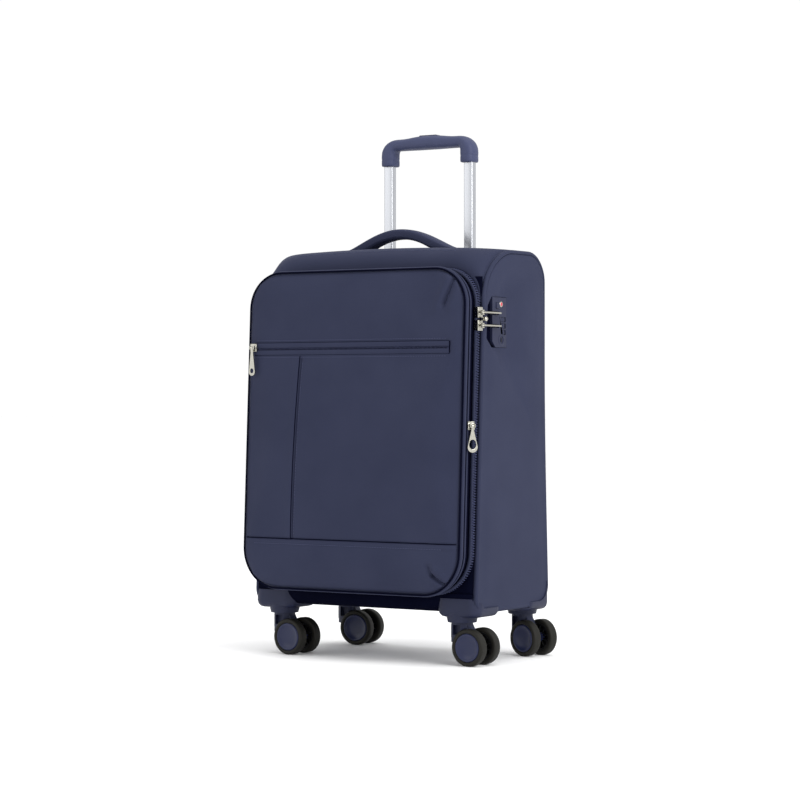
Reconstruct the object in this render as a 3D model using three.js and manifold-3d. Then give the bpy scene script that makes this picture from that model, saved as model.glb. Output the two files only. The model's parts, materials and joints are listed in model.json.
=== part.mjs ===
// Softside upright suitcase on four double-wheel casters.
// Millimetres. +Z is up, the lid faces -Y, the trolley handle stands at the back (+Y).
// The origin is on the floor, under the middle of the suitcase.

import * as THREE from 'three';
import { mergeVertices } from 'three/addons/utils/BufferGeometryUtils.js';
import Module from 'manifold-3d';

const wasm = await Module();
wasm.setup();

// ---- driving dimensions -------------------------------------------------

const GAP = 0.3; // air kept between neighbouring pieces

// fabric body
const BODY_HALF_WIDTH = 177;
const BODY_FRONT = -67;
const BODY_BACK = 96.6;
const BODY_BOTTOM = 68.5;
const BODY_TOP = 550;
const BODY_WALL = 4;
const BACK_TOP_RADIUS = 43;
const BACK_BOTTOM_RADIUS = 28;
const FRONT_BOTTOM_RADIUS = 20;
const BACK_SWELL = 9.4; // the back panel swells out above the rear casters
const SIDE_PANEL = 3;
// The whole front, lid and all, leans forward towards the bottom, so the suitcase is deeper there.
const FRONT_LEAN = 0.0468;
const LEAN_FROM = 470;

// lid, measured at its outline
const LID_HALF_WIDTH = 171.5;
const LID_BOTTOM = 93.5;
const LID_TOP = 520;
const LID_TOP_RADIUS = 48;
const LID_BOTTOM_RADIUS = 55;
const LID_FRONT = -110.5;
const LID_PANEL = 5;
const LID_SPLIT = -92; // lid in front of this plane, zipper band behind it
const LID_WALL = 8;

// telescopic handle
const TUBE_HALF_PITCH = 65.6;
const TUBE_Y = 83;
const INNER_TUBE = [14, 11.8]; // width and depth of the stage held by the grip
const MIDDLE_TUBE = [17.6, 15.2];
const OUTER_TUBE = [21, 18.4];
const TUBE_WALL = { inner: 1.2, middle: 1.4, outer: 1.2 };
const TUBE_CORNER = 2.2;
const TUBE_FOOT = 100;
const BEZEL = { halfWidth: 82, front: 70, back: 93, bottom: 512, top: 551.5 };
const INNER_TUBE_LENGTH = 463;
const GRIP_HALF_WIDTH = 75.7;
const GRIP_BOTTOM = 675;
const GRIP_SHOULDER = 710;
const GRIP_UNDERSIDE = 696.5;
const GRIP_PALM = 718;
const GRIP_DEPTH = 27;
const GRIP_LEG = 22;

// carry handles
const TOP_HANDLE = { halfSpan: 86, halfGap: 52, rise: 31, clear: 17, y: 12, width: 26 };
const SIDE_HANDLE = { halfSpan: 84, halfGap: 52, rise: 13.7, clear: 7.6, z: 318, y: 30, width: 26 };

// casters
const CASTER_X = 143;
const CASTER_Y = { front: -64, rear: 93.5 };
const CASTER_TURN = { front: -3.4, rear_right: -15.6, rear_left: 4.8 }; // degrees about +Z
const TRAIL = 22;
const WHEEL_RADIUS = 24.5;
const WHEEL_SIDES = 24;
const HUB_SIDES = 16;
const TYRE_WIDTH = 13;
const WHEEL_OFFSET = 15.5;
const HUB_RADIUS = 18.75;
const AXLE_RADIUS = 3;
const FORK_RADIUS = 14.5;
const FORK_ARM = { halfWidth: 6.5, eye: 8, root: 53, waist: 36 };
const BOSS_BOTTOM = 56;
const BOSS_RADIUS = 19;
const BOSS_HEIGHT = 12;
const STEM_RADIUS = 4.5;
const GUARD = {
  proud: 2.8, lip: 2, reach: 29, bottom: 63, frontTop: 88, rearTop: 101,
  frontEnd: -22, rearStart: 45, corner: 6, roll: 9, band: 7, slope: 17,
};

// combination lock on the right side panel
const LOCK = { front: -60, step: -47, back: -11, bottom: 417, top: 483 };
const LOCK_FACE = 179;
const LOCK_FLOOR = 174.5;
const LOCK_BACK = 172.5;
const PULLER_HEIGHTS = { upper: 462, lower: 445 };
const DIAL = { radius: 5.5, thickness: 6, y: -18.5, heights: [437, 445.5, 454] };
const KEY = { radius: 6, y: -24, z: 427 };
const RELEASE = { halfWidth: 3.5, halfHeight: 4, y: -34, z: 472 };

// zippers
const MAIN_ZIP_Y = -76;
const EXPANSION_ZIP_Y = -89;
const EXPANSION_SLIDER_Z = 314.5;
const POCKET_ZIP_Z = 416.5;
const POCKET_SLIDER_X = -157;

// ---- materials ----------------------------------------------------------

const finish = {
  fabric: { color: 0x3d4158, roughness: 0.72, metalness: 0 },
  plastic: { color: 0x343a55, roughness: 0.45, metalness: 0 },
  hub: { color: 0x3c4263, roughness: 0.35, metalness: 0 },
  rubber: { color: 0x2a2a26, roughness: 0.8, metalness: 0 },
  aluminium: { color: 0xc9cbd0, roughness: 0.3, metalness: 1 },
  nickel: { color: 0xd8d6cc, roughness: 0.25, metalness: 1 },
  steel: { color: 0x8d9096, roughness: 0.4, metalness: 1 },
};

// ---- helpers ------------------------------------------------------------

const radians = THREE.MathUtils.degToRad;

function weld(geometry) {
  const bare = geometry.clone();
  bare.deleteAttribute('normal');
  bare.deleteAttribute('uv');
  return mergeVertices(bare, 1e-4);
}

function toSolid(geometry) {
  const welded = weld(geometry);
  return new wasm.Manifold(new wasm.Mesh({
    numProp: 3,
    vertProperties: new Float32Array(welded.attributes.position.array),
    triVerts: new Uint32Array(welded.index.array),
  }));
}

function toGeometry(solid) {
  const mesh = solid.getMesh();
  const geometry = new THREE.BufferGeometry();
  geometry.setAttribute('position', new THREE.BufferAttribute(new Float32Array(mesh.vertProperties), 3));
  geometry.setIndex(new THREE.BufferAttribute(new Uint32Array(mesh.triVerts), 1));
  return geometry;
}

function cut(base, ...tools) {
  let solid = toSolid(base);
  for (const tool of tools) {
    solid = solid.subtract(toSolid(tool));
  }
  return toGeometry(solid);
}

function join(...pieces) {
  let solid = toSolid(pieces[0]);
  for (const piece of pieces.slice(1)) {
    solid = solid.add(toSolid(piece));
  }
  return toGeometry(solid);
}

// A box given by its lowest and highest corners.
function boxBetween(low, high) {
  const size = high.map((value, axis) => value - low[axis]);
  const middle = high.map((value, axis) => (value + low[axis]) / 2);
  return new THREE.BoxGeometry(...size).translate(...middle);
}

// A round bar along one axis between two stations.
function rod(axis, radius, from, to, sides = 24) {
  const bar = new THREE.CylinderGeometry(radius, radius, to - from, sides);
  bar.translate(0, (from + to) / 2, 0);
  if (axis === 'x') {
    bar.rotateZ(-Math.PI / 2);
  }
  if (axis === 'z') {
    bar.rotateX(Math.PI / 2);
  }
  return bar;
}

// An outline drawn in X and Z, given its thickness along Y between two planes.
function standing(shape, front, back, curveSegments = 6) {
  const slab = new THREE.ExtrudeGeometry(shape, {
    depth: back - front, bevelEnabled: false, curveSegments,
  });
  return slab.rotateX(Math.PI / 2).translate(0, back, 0);
}

// An outline drawn in Y and Z, given its thickness along X between two planes.
function sideways(shape, left, right, curveSegments = 6) {
  const slab = new THREE.ExtrudeGeometry(shape, {
    depth: right - left, bevelEnabled: false, curveSegments,
  });
  slab.applyMatrix4(new THREE.Matrix4().makeBasis(
    new THREE.Vector3(0, 1, 0), new THREE.Vector3(0, 0, 1), new THREE.Vector3(1, 0, 0),
  ));
  return slab.translate(left, 0, 0);
}

// An outline drawn in X and Y, given its thickness along Z between two planes.
function flat(shape, bottom, top, curveSegments = 6) {
  const slab = new THREE.ExtrudeGeometry(shape, {
    depth: top - bottom, bevelEnabled: false, curveSegments,
  });
  return slab.translate(0, 0, bottom);
}

function polygon(points) {
  return new THREE.Shape(points.map(([u, v]) => new THREE.Vector2(u, v)));
}

function roundedRectangle(left, right, bottom, top, radius, bottomRadius = radius) {
  const shape = new THREE.Shape();
  shape.moveTo(left + bottomRadius, bottom);
  shape.lineTo(right - bottomRadius, bottom);
  shape.absarc(right - bottomRadius, bottom + bottomRadius, bottomRadius, -Math.PI / 2, 0);
  shape.lineTo(right, top - radius);
  shape.absarc(right - radius, top - radius, radius, 0, Math.PI / 2);
  shape.lineTo(left + radius, top);
  shape.absarc(left + radius, top - radius, radius, Math.PI / 2, Math.PI);
  shape.lineTo(left, bottom + bottomRadius);
  shape.absarc(left + bottomRadius, bottom + bottomRadius, bottomRadius, Math.PI, 1.5 * Math.PI);
  return shape;
}

// How far forward of its place at the top the front stands at a height.
function lean(z) {
  return FRONT_LEAN * (LEAN_FROM - z);
}

function leaned(geometry) {
  const shear = new THREE.Matrix4().set(
    1, 0, 0, 0,
    0, 1, FRONT_LEAN, -FRONT_LEAN * LEAN_FROM,
    0, 0, 1, 0,
    0, 0, 0, 1,
  );
  return geometry.applyMatrix4(shear);
}

// A ring or plate of the lid's outline, drawn in by some amount.
function lidOutline(inset) {
  return roundedRectangle(
    inset - LID_HALF_WIDTH, LID_HALF_WIDTH - inset, LID_BOTTOM + inset, LID_TOP - inset,
    LID_TOP_RADIUS - inset, LID_BOTTOM_RADIUS - inset,
  );
}

// Skin through rings of points that all have the same count, closed at both ends.
// The rings stand across X and are taken from the lowest X to the highest.
function loft(outlines) {
  const clockwise = THREE.ShapeUtils.area(outlines[0].map(({ y, z }) => new THREE.Vector2(y, z))) < 0;
  const rings = outlines.map((outline) => (clockwise ? [...outline].reverse() : outline));
  const count = rings[0].length;
  const positions = rings.flat().flatMap((point) => [point.x, point.y, point.z]);
  const faces = [];
  for (let ring = 0; ring + 1 < rings.length; ring += 1) {
    for (let i = 0; i < count; i += 1) {
      const a = ring * count + i;
      const b = ring * count + ((i + 1) % count);
      faces.push(a, b, b + count, a, b + count, a + count);
    }
  }
  const last = (rings.length - 1) * count;
  for (const [start, flip] of [[0, true], [last, false]]) {
    const ring = rings[start / count].map((point) => new THREE.Vector2(point.y, point.z));
    for (const [a, b, c] of THREE.ShapeUtils.triangulateShape(ring, [])) {
      faces.push(...(flip ? [start + a, start + c, start + b] : [start + a, start + b, start + c]));
    }
  }
  const geometry = new THREE.BufferGeometry();
  geometry.setAttribute('position', new THREE.Float32BufferAttribute(positions, 3));
  geometry.setIndex(faces);
  return geometry;
}

function signedVolume(geometry) {
  const points = geometry.attributes.position;
  const order = geometry.index ? geometry.index.array : [...Array(points.count).keys()];
  const corner = [new THREE.Vector3(), new THREE.Vector3(), new THREE.Vector3()];
  let volume = 0;
  for (let i = 0; i < order.length; i += 3) {
    corner.forEach((point, k) => point.fromBufferAttribute(points, order[i + k]));
    volume += corner[0].dot(corner[1].cross(corner[2])) / 6;
  }
  return volume;
}

// Turns a closed skin's faces outwards if they point in.
function outward(geometry) {
  const welded = weld(geometry);
  if (signedVolume(welded) < 0) {
    const order = welded.index.array;
    for (let i = 0; i < order.length; i += 3) {
      [order[i], order[i + 1]] = [order[i + 1], order[i]];
    }
  }
  return welded;
}

const suitcase = new THREE.Group();
// The lid is deeper than the wheels reach back, so the middle of the whole lies this far forward.
const DEPTH_CENTRE = -4.48;
suitcase.position.y = -DEPTH_CENTRE;

function add(name, geometry, material, parent = suitcase) {
  const solid = outward(geometry).toNonIndexed();
  solid.computeVertexNormals();
  const mesh = new THREE.Mesh(solid, new THREE.MeshStandardMaterial(finish[material]));
  mesh.name = name;
  parent.add(mesh);
  return mesh;
}

// ---- fabric body --------------------------------------------------------

// Height of the lid's top edge at a distance from the middle.
function lidTopAt(x) {
  const across = Math.max(Math.min(Math.abs(x), LID_HALF_WIDTH) - (LID_HALF_WIDTH - LID_TOP_RADIUS), 0);
  return LID_TOP - LID_TOP_RADIUS + Math.sqrt(LID_TOP_RADIUS ** 2 - across ** 2);
}

// Where the front's lower edge stands.
const BOTTOM_EDGE = BODY_FRONT - lean(BODY_BOTTOM + FRONT_BOTTOM_RADIUS);

function arc(y, z, radius, from, to, steps) {
  const points = [];
  for (let i = 0; i <= steps; i += 1) {
    const angle = radians(from + ((to - from) * i) / steps);
    points.push([y + radius * Math.cos(angle), z + radius * Math.sin(angle)]);
  }
  return points;
}

// The body's side view from the front top corner over the back to the front bottom corner.
// The front top corner opens up towards the sides, where the lid's own corner falls away.
function bodyProfile(x, inset) {
  const back = BODY_BACK - inset;
  const frontRadius = BODY_TOP - lidTopAt(x);
  const topEdge = BODY_FRONT - lean(BODY_TOP - frontRadius);
  return [
    ...arc(topEdge + frontRadius, BODY_TOP - frontRadius, frontRadius - inset, 180, 90, 6),
    ...arc(
      BODY_BACK - BACK_TOP_RADIUS, BODY_TOP - BACK_TOP_RADIUS, BACK_TOP_RADIUS - inset, 90, 0, 5,
    ),
    [back, 400],
    [back + BACK_SWELL * 0.45, 290],
    [back + BACK_SWELL * 0.6, 210],
    ...arc(
      BODY_BACK + BACK_SWELL - BACK_BOTTOM_RADIUS, BODY_BOTTOM + BACK_BOTTOM_RADIUS,
      BACK_BOTTOM_RADIUS - inset, 0, -90, 4,
    ),
    ...arc(
      BOTTOM_EDGE + FRONT_BOTTOM_RADIUS, BODY_BOTTOM + FRONT_BOTTOM_RADIUS,
      FRONT_BOTTOM_RADIUS - inset, -90, -180, 4,
    ),
  ];
}

function bodyStations(halfWidth) {
  const flank = LID_HALF_WIDTH - LID_TOP_RADIUS;
  const steps = [0, 25, 45, 65, 80, 90].map((turn) => flank + LID_TOP_RADIUS * Math.sin(radians(turn)));
  const right = [...steps, halfWidth];
  return [...right.map((x) => -x).reverse(), ...right];
}

const wrapHalfWidth = BODY_HALF_WIDTH - SIDE_PANEL - GAP;

// Rim around the front opening. It laps a little into the fabric's front edges.
function openingRim() {
  const lap = 1;
  const half = wrapHalfWidth - GAP;
  const bottom = BODY_BOTTOM + FRONT_BOTTOM_RADIUS - lap;
  const shoulder = LID_TOP - LID_TOP_RADIUS;
  const flank = LID_HALF_WIDTH - LID_TOP_RADIUS;
  const rim = new THREE.Shape();
  rim.moveTo(-half, bottom);
  rim.lineTo(half, bottom);
  rim.lineTo(half, shoulder);
  rim.absarc(flank, shoulder, LID_TOP_RADIUS + lap, 0, Math.PI / 2);
  rim.absarc(-flank, shoulder, LID_TOP_RADIUS + lap, Math.PI / 2, Math.PI);
  rim.lineTo(-half, shoulder);
  rim.holes.push(lidOutline(14));
  return leaned(standing(rim, BODY_FRONT + 0.5, BODY_FRONT + BODY_WALL));
}

// Opening in the top rear corner that the handle's bezel sits in.
const bezelWell = boxBetween(
  [-BEZEL.halfWidth - GAP, BEZEL.front - GAP, BEZEL.bottom - GAP],
  [BEZEL.halfWidth + GAP, BODY_BACK + 5, BODY_TOP + 5],
);

const casterPlaces = [
  ['front_left', -CASTER_X, CASTER_Y.front, CASTER_TURN.front],
  ['front_right', CASTER_X, CASTER_Y.front, CASTER_TURN.front],
  ['rear_left', -CASTER_X, CASTER_Y.rear, CASTER_TURN.rear_left],
  ['rear_right', CASTER_X, CASTER_Y.rear, CASTER_TURN.rear_right],
];

const wrapSkin = loft(bodyStations(wrapHalfWidth).map((x) => {
  const outline = [...bodyProfile(x, 0), ...bodyProfile(x, BODY_WALL).reverse()];
  return outline.map(([y, z]) => new THREE.Vector3(x, y, z));
}));
add('body_wrap', cut(join(outward(wrapSkin), openingRim()), bezelWell), 'fabric');

function sidePanelShape() {
  return polygon(bodyProfile(BODY_HALF_WIDTH, 0));
}

// The recess beside the lock has its front top corner cut off, to follow the panel's edge.
function lockShape(grow) {
  const shoulder = 470;
  const crest = LOCK.top + 6;
  return polygon([
    [LOCK.front - grow, LOCK.bottom - grow],
    [LOCK.back + grow, LOCK.bottom - grow],
    [LOCK.back + grow, LOCK.top + grow],
    [LOCK.step + grow, LOCK.top + grow],
    [LOCK.step + grow, crest + grow],
    [LOCK.front + 8 - grow, crest + grow],
    [LOCK.front - grow, shoulder + grow],
  ]);
}

const panelInside = BODY_HALF_WIDTH - SIDE_PANEL;
add('side_panel_left', sideways(sidePanelShape(), -BODY_HALF_WIDTH, -panelInside), 'fabric');
const rightPanel = sidePanelShape();
rightPanel.holes.push(lockShape(GAP));
add('side_panel_right', sideways(rightPanel, panelInside, BODY_HALF_WIDTH), 'fabric');

// ---- lid ----------------------------------------------------------------

function lidRing(front, back) {
  const ring = lidOutline(0);
  ring.holes.push(lidOutline(LID_WALL));
  return leaned(standing(ring, front, back));
}

add('zipper_band', lidRing(LID_SPLIT + GAP, BODY_FRONT - GAP), 'fabric');
add('lid_gusset', lidRing(LID_FRONT + LID_PANEL + GAP, LID_SPLIT), 'fabric');
add('lid_panel', leaned(standing(lidOutline(0), LID_FRONT, LID_FRONT + LID_PANEL)), 'fabric');

// ---- carry handles ------------------------------------------------------

// A low arch with flat sewn-down ends: u runs along it, v is its height.
function archShape({ halfSpan, halfGap, rise, clear }) {
  const steps = 12;
  const endThickness = 3;
  const outer = [];
  const inner = [];
  for (let i = 0; i <= steps; i += 1) {
    const t = -1 + (2 * i) / steps;
    const bow = Math.cos((t * Math.PI) / 2);
    outer.push([t * halfSpan, endThickness + (rise - endThickness) * bow ** 1.2]);
    inner.push([t * halfGap, clear * bow ** 0.7]);
  }
  const feet = [[halfSpan, 0], ...inner.reverse(), [-halfSpan, 0]];
  return polygon([...outer, ...feet]);
}

const topHandle = standing(archShape(TOP_HANDLE), -TOP_HANDLE.width / 2, TOP_HANDLE.width / 2);
add('top_handle', topHandle.translate(0, TOP_HANDLE.y, BODY_TOP + GAP), 'fabric');

const sideHandle = standing(archShape(SIDE_HANDLE), -SIDE_HANDLE.width / 2, SIDE_HANDLE.width / 2);
sideHandle.rotateY(-Math.PI / 2);
add('side_handle', sideHandle.translate(-BODY_HALF_WIDTH - GAP, SIDE_HANDLE.y, SIDE_HANDLE.z), 'fabric');

// ---- telescopic handle --------------------------------------------------

function tube([width, depth], wall, bottom, top) {
  const outside = roundedRectangle(-width / 2, width / 2, -depth / 2, depth / 2, TUBE_CORNER);
  outside.holes.push(roundedRectangle(
    wall - width / 2, width / 2 - wall, wall - depth / 2, depth / 2 - wall, TUBE_CORNER - wall,
  ));
  return flat(outside, bottom, top, 3);
}

const innerTop = GRIP_BOTTOM + 14;
const innerBottom = innerTop - INNER_TUBE_LENGTH;
const middleTop = BODY_TOP - 1;
const outerTop = BEZEL.bottom - 4;
for (const [side, x] of [['left', -TUBE_HALF_PITCH], ['right', TUBE_HALF_PITCH]]) {
  const outer = tube(OUTER_TUBE, TUBE_WALL.outer, TUBE_FOOT, outerTop);
  add(`outer_tube_${side}`, outer.translate(x, TUBE_Y, 0), 'aluminium');
  const middle = tube(MIDDLE_TUBE, TUBE_WALL.middle, TUBE_FOOT + 2, middleTop);
  add(`middle_tube_${side}`, middle.translate(x, TUBE_Y, 0), 'aluminium');
  const inner = tube(INNER_TUBE, TUBE_WALL.inner, innerBottom, innerTop);
  add(`inner_tube_${side}`, inner.translate(x, TUBE_Y, 0), 'aluminium');
}

// Moulding around the mouths of both tubes, let into the body's top rear corner.
function bezel() {
  const plate = roundedRectangle(-BEZEL.halfWidth, BEZEL.halfWidth, BEZEL.front, BEZEL.back, 6);
  const [width, depth] = MIDDLE_TUBE;
  for (const x of [-TUBE_HALF_PITCH, TUBE_HALF_PITCH]) {
    plate.holes.push(roundedRectangle(
      x - width / 2 - GAP, x + width / 2 + GAP,
      TUBE_Y - depth / 2 - GAP, TUBE_Y + depth / 2 + GAP, TUBE_CORNER,
    ));
  }
  return flat(plate, BEZEL.bottom, BEZEL.top, 3);
}

add('trolley_bezel', bezel(), 'plastic');

// Bracket that carries the outer tubes on the floor of the body.
const floor = BODY_BOTTOM + BODY_WALL + GAP;
const footShape = polygon([
  [BEZEL.front, floor], [BEZEL.front + 9, floor], [BEZEL.back - 1, floor + 11],
  [BEZEL.back - 1, TUBE_FOOT - GAP], [BEZEL.front, TUBE_FOOT - GAP],
]);
add('trolley_foot', sideways(footShape, -BEZEL.halfWidth, BEZEL.halfWidth), 'plastic');

// Grip: one bow from tube to tube with a raised palm in the middle.
function gripShape() {
  const inside = GRIP_HALF_WIDTH - GRIP_LEG;
  const bow = new THREE.Shape();
  bow.moveTo(-GRIP_HALF_WIDTH, GRIP_BOTTOM);
  bow.lineTo(-inside, GRIP_BOTTOM);
  bow.lineTo(-inside, GRIP_UNDERSIDE - 10);
  bow.absarc(-inside + 10, GRIP_UNDERSIDE - 10, 10, Math.PI, Math.PI / 2, true);
  bow.lineTo(inside - 10, GRIP_UNDERSIDE);
  bow.absarc(inside - 10, GRIP_UNDERSIDE - 10, 10, Math.PI / 2, 0, true);
  bow.lineTo(inside, GRIP_BOTTOM);
  bow.lineTo(GRIP_HALF_WIDTH, GRIP_BOTTOM);
  bow.lineTo(GRIP_HALF_WIDTH, GRIP_BOTTOM + 8);
  bow.quadraticCurveTo(GRIP_HALF_WIDTH, GRIP_SHOULDER, GRIP_HALF_WIDTH - 34, GRIP_SHOULDER);
  bow.lineTo(22, GRIP_PALM);
  bow.lineTo(-22, GRIP_PALM);
  bow.lineTo(34 - GRIP_HALF_WIDTH, GRIP_SHOULDER);
  bow.quadraticCurveTo(-GRIP_HALF_WIDTH, GRIP_SHOULDER, -GRIP_HALF_WIDTH, GRIP_BOTTOM + 8);
  return bow;
}

function tubeSocket(x) {
  const [width, depth] = INNER_TUBE;
  return boxBetween(
    [x - width / 2 - GAP, TUBE_Y - depth / 2 - GAP, GRIP_BOTTOM - 1],
    [x + width / 2 + GAP, TUBE_Y + depth / 2 + GAP, innerTop + GAP],
  );
}

const BUTTON = { halfLength: 14, halfDepth: 6, sink: 8, proud: 1.6 };
const buttonWell = boxBetween(
  [-BUTTON.halfLength - GAP, TUBE_Y - BUTTON.halfDepth - GAP, GRIP_PALM - BUTTON.sink],
  [BUTTON.halfLength + GAP, TUBE_Y + BUTTON.halfDepth + GAP, GRIP_PALM + 5],
);
add('trolley_grip', cut(
  standing(gripShape(), TUBE_Y - GRIP_DEPTH / 2, TUBE_Y + GRIP_DEPTH / 2),
  tubeSocket(-TUBE_HALF_PITCH), tubeSocket(TUBE_HALF_PITCH), buttonWell,
), 'plastic');
add('grip_button', boxBetween(
  [-BUTTON.halfLength, TUBE_Y - BUTTON.halfDepth, GRIP_PALM - BUTTON.sink + 3 + GAP],
  [BUTTON.halfLength, TUBE_Y + BUTTON.halfDepth, GRIP_PALM + BUTTON.proud],
), 'plastic');

// ---- casters ------------------------------------------------------------

// Profiles are [radius, station along the axle].
function turned(profile, segments = WHEEL_SIDES) {
  const points = profile.map(([radius, along]) => new THREE.Vector2(radius, along));
  return new THREE.LatheGeometry(points, segments, Math.PI / segments);
}

function tyre() {
  const rim = WHEEL_RADIUS / Math.cos(Math.PI / WHEEL_SIDES);
  const half = TYRE_WIDTH / 2;
  const bore = HUB_RADIUS + GAP;
  return turned([
    [bore, -half], [rim - 2, -half], [rim, -half + 2], [rim, half - 2], [rim - 2, half],
    [bore, half], [bore, -half],
  ]);
}

// The hub's face looks towards +Y and hides the axle's end.
function hub() {
  const half = TYRE_WIDTH / 2;
  const bore = AXLE_RADIUS + GAP;
  return turned([
    [0, half - 1.5], [HUB_RADIUS - 3, half - 1.5], [HUB_RADIUS - 2, half],
    [HUB_RADIUS, half], [HUB_RADIUS, 2 - half], [bore, 2 - half], [bore, half - 5], [0, half - 5],
  ], HUB_SIDES);
}

function fork() {
  const head = rod('z', FORK_RADIUS, 30, BOSS_BOTTOM - GAP);
  const stem = rod('z', STEM_RADIUS, BOSS_BOTTOM - 2, BODY_BOTTOM - 2, 12);
  const { halfWidth, eye, root, waist } = FORK_ARM;
  const web = new THREE.Shape();
  web.moveTo(-FORK_RADIUS + 1, root);
  web.lineTo(-FORK_RADIUS + 1, waist);
  web.lineTo(TRAIL - eye + 1, WHEEL_RADIUS - 4.5);
  web.absarc(TRAIL, WHEEL_RADIUS, eye, radians(-132), radians(69));
  web.lineTo(FORK_RADIUS - 1, root);
  const arm = standing(web, -halfWidth, halfWidth);
  const windows = [];
  for (const side of [-1, 1]) {
    const clearance = rod('y', WHEEL_RADIUS + 2, halfWidth + 1, 24, 32).translate(TRAIL, 0, WHEEL_RADIUS);
    const arch = boxBetween([-6, halfWidth + 1, 40], [6, 24, root]);
    windows.push(clearance.scale(1, side, 1), arch.scale(1, side, 1));
  }
  const bore = rod('y', AXLE_RADIUS + GAP, -10, 10, 16).translate(TRAIL, 0, WHEEL_RADIUS);
  return cut(join(head, stem, arm), ...windows.map(outward), bore);
}

// A solid as wide as the guards whose side view is the body's, drawn in by some amount.
function bodyPrism(inset, halfWidth) {
  return outward(loft([-halfWidth, halfWidth].map((x) => (
    bodyProfile(BODY_HALF_WIDTH, inset).map(([y, z]) => new THREE.Vector3(x, y, z))
  ))));
}

// A block whose plan has round corners and whose lower edge is rolled in like a bowl's.
function bowl([x0, x1], [y0, y1], bottom, top) {
  const { corner, roll } = GUARD;
  const plan = roundedRectangle(x0 + roll, x1 - roll, y0 + roll, y1 - roll, corner);
  const solid = new THREE.ExtrudeGeometry(plan, {
    depth: top - bottom,
    bevelEnabled: true,
    bevelThickness: roll,
    bevelSize: roll,
    bevelSegments: 3,
    curveSegments: 4,
  });
  const flatTop = boxBetween([x0 - 1, y0 - 1, top], [x1 + 1, y1 + 1, top + 2 * roll]);
  return cut(outward(solid.translate(0, 0, bottom + roll)), flatTop);
}

// Front guards stand in front of the body, under the lid; rear guards wrap the back corner.
// On the side panel each guard shows as a narrow band along the panel's lower edge.
function guard(x, y, front) {
  const side = Math.sign(x);
  const outer = BODY_HALF_WIDTH + GUARD.proud;
  const span = (low, high) => (side > 0 ? [low, high] : [-high, -low]);
  const depth = front
    ? [BOTTOM_EDGE - GUARD.lip, GUARD.frontEnd]
    : [GUARD.rearStart, BODY_BACK + BACK_SWELL + GUARD.proud];
  const top = front ? GUARD.frontTop : GUARD.rearTop;
  const block = bowl(span(CASTER_X - GUARD.reach, outer), depth, GUARD.bottom, top);
  const [k0, k1] = span(BODY_HALF_WIDTH - 1, outer + 1);
  const band = bodyProfile(BODY_HALF_WIDTH, GUARD.band);
  const heart = sideways(polygon(front
    ? [
      [BOTTOM_EDGE + GAP, GUARD.frontTop + 1], [BOTTOM_EDGE + GUARD.slope, BODY_BOTTOM + GUARD.band],
      [GUARD.frontEnd + 1, BODY_BOTTOM + GUARD.band], [GUARD.frontEnd + 1, GUARD.frontTop + 1],
    ]
    : band), k0, k1);
  const boss = new THREE.CylinderGeometry(BOSS_RADIUS + 3, BOSS_RADIUS, BOSS_HEIGHT, 24)
    .rotateX(Math.PI / 2)
    .translate(x, y, BOSS_BOTTOM + BOSS_HEIGHT / 2);
  const bore = rod('z', STEM_RADIUS + GAP, BOSS_BOTTOM - 1, BODY_BOTTOM, 12).translate(x, y, 0);
  return cut(join(block, boss), bodyPrism(-GAP, BODY_HALF_WIDTH + GAP), outward(heart), bore);
}

for (const [place, x, y, turn] of casterPlaces) {
  add(`corner_guard_${place}`, guard(x, y, place.startsWith('front')), 'plastic');
  const swivel = new THREE.Group();
  swivel.position.set(x, y, 0);
  swivel.rotation.z = radians(turn);
  suitcase.add(swivel);
  add(`fork_${place}`, fork(), 'plastic', swivel);
  const axle = rod('y', AXLE_RADIUS, -WHEEL_OFFSET - 1, WHEEL_OFFSET + 1, 12);
  add(`axle_${place}`, axle.translate(TRAIL, 0, WHEEL_RADIUS), 'steel', swivel);
  for (const [end, side] of [['outer', -1], ['inner', 1]]) {
    const wheel = new THREE.Group();
    wheel.position.set(TRAIL, side * WHEEL_OFFSET, WHEEL_RADIUS);
    wheel.rotation.z = side > 0 ? 0 : Math.PI;
    swivel.add(wheel);
    add(`tyre_${place}_${end}`, tyre(), 'rubber', wheel);
    add(`hub_${place}_${end}`, hub(), 'hub', wheel);
  }
}

// ---- combination lock ---------------------------------------------------

const lockBlock = boxBetween([LOCK_FLOOR - 0.5, LOCK.step, LOCK.bottom], [LOCK_FACE, LOCK.back, LOCK.top]);
const lockTray = sideways(lockShape(0), LOCK_BACK, LOCK_FLOOR);
const pullerSlots = Object.values(PULLER_HEIGHTS).map((z) => boxBetween(
  [LOCK_FLOOR, LOCK.step - 1, z - 2.2], [LOCK_FACE + 1, -29.5, z + 2.2],
));
const dialWindows = DIAL.heights.map((z) => boxBetween(
  [LOCK_BACK - 1, DIAL.y - DIAL.radius - GAP, z - DIAL.thickness / 2 - GAP],
  [LOCK_FACE + 1, DIAL.y + DIAL.radius + GAP, z + DIAL.thickness / 2 + GAP],
));
const keyHole = rod('x', KEY.radius + GAP, LOCK_BACK - 1, LOCK_FACE + 1).translate(0, KEY.y, KEY.z);
const releaseHole = boxBetween(
  [LOCK_BACK - 1, RELEASE.y - RELEASE.halfWidth - GAP, RELEASE.z - RELEASE.halfHeight - GAP],
  [LOCK_FACE + 1, RELEASE.y + RELEASE.halfWidth + GAP, RELEASE.z + RELEASE.halfHeight + GAP],
);
add('lock_housing', cut(
  join(lockBlock, lockTray), ...pullerSlots, ...dialWindows, keyHole, releaseHole,
), 'plastic');

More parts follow.
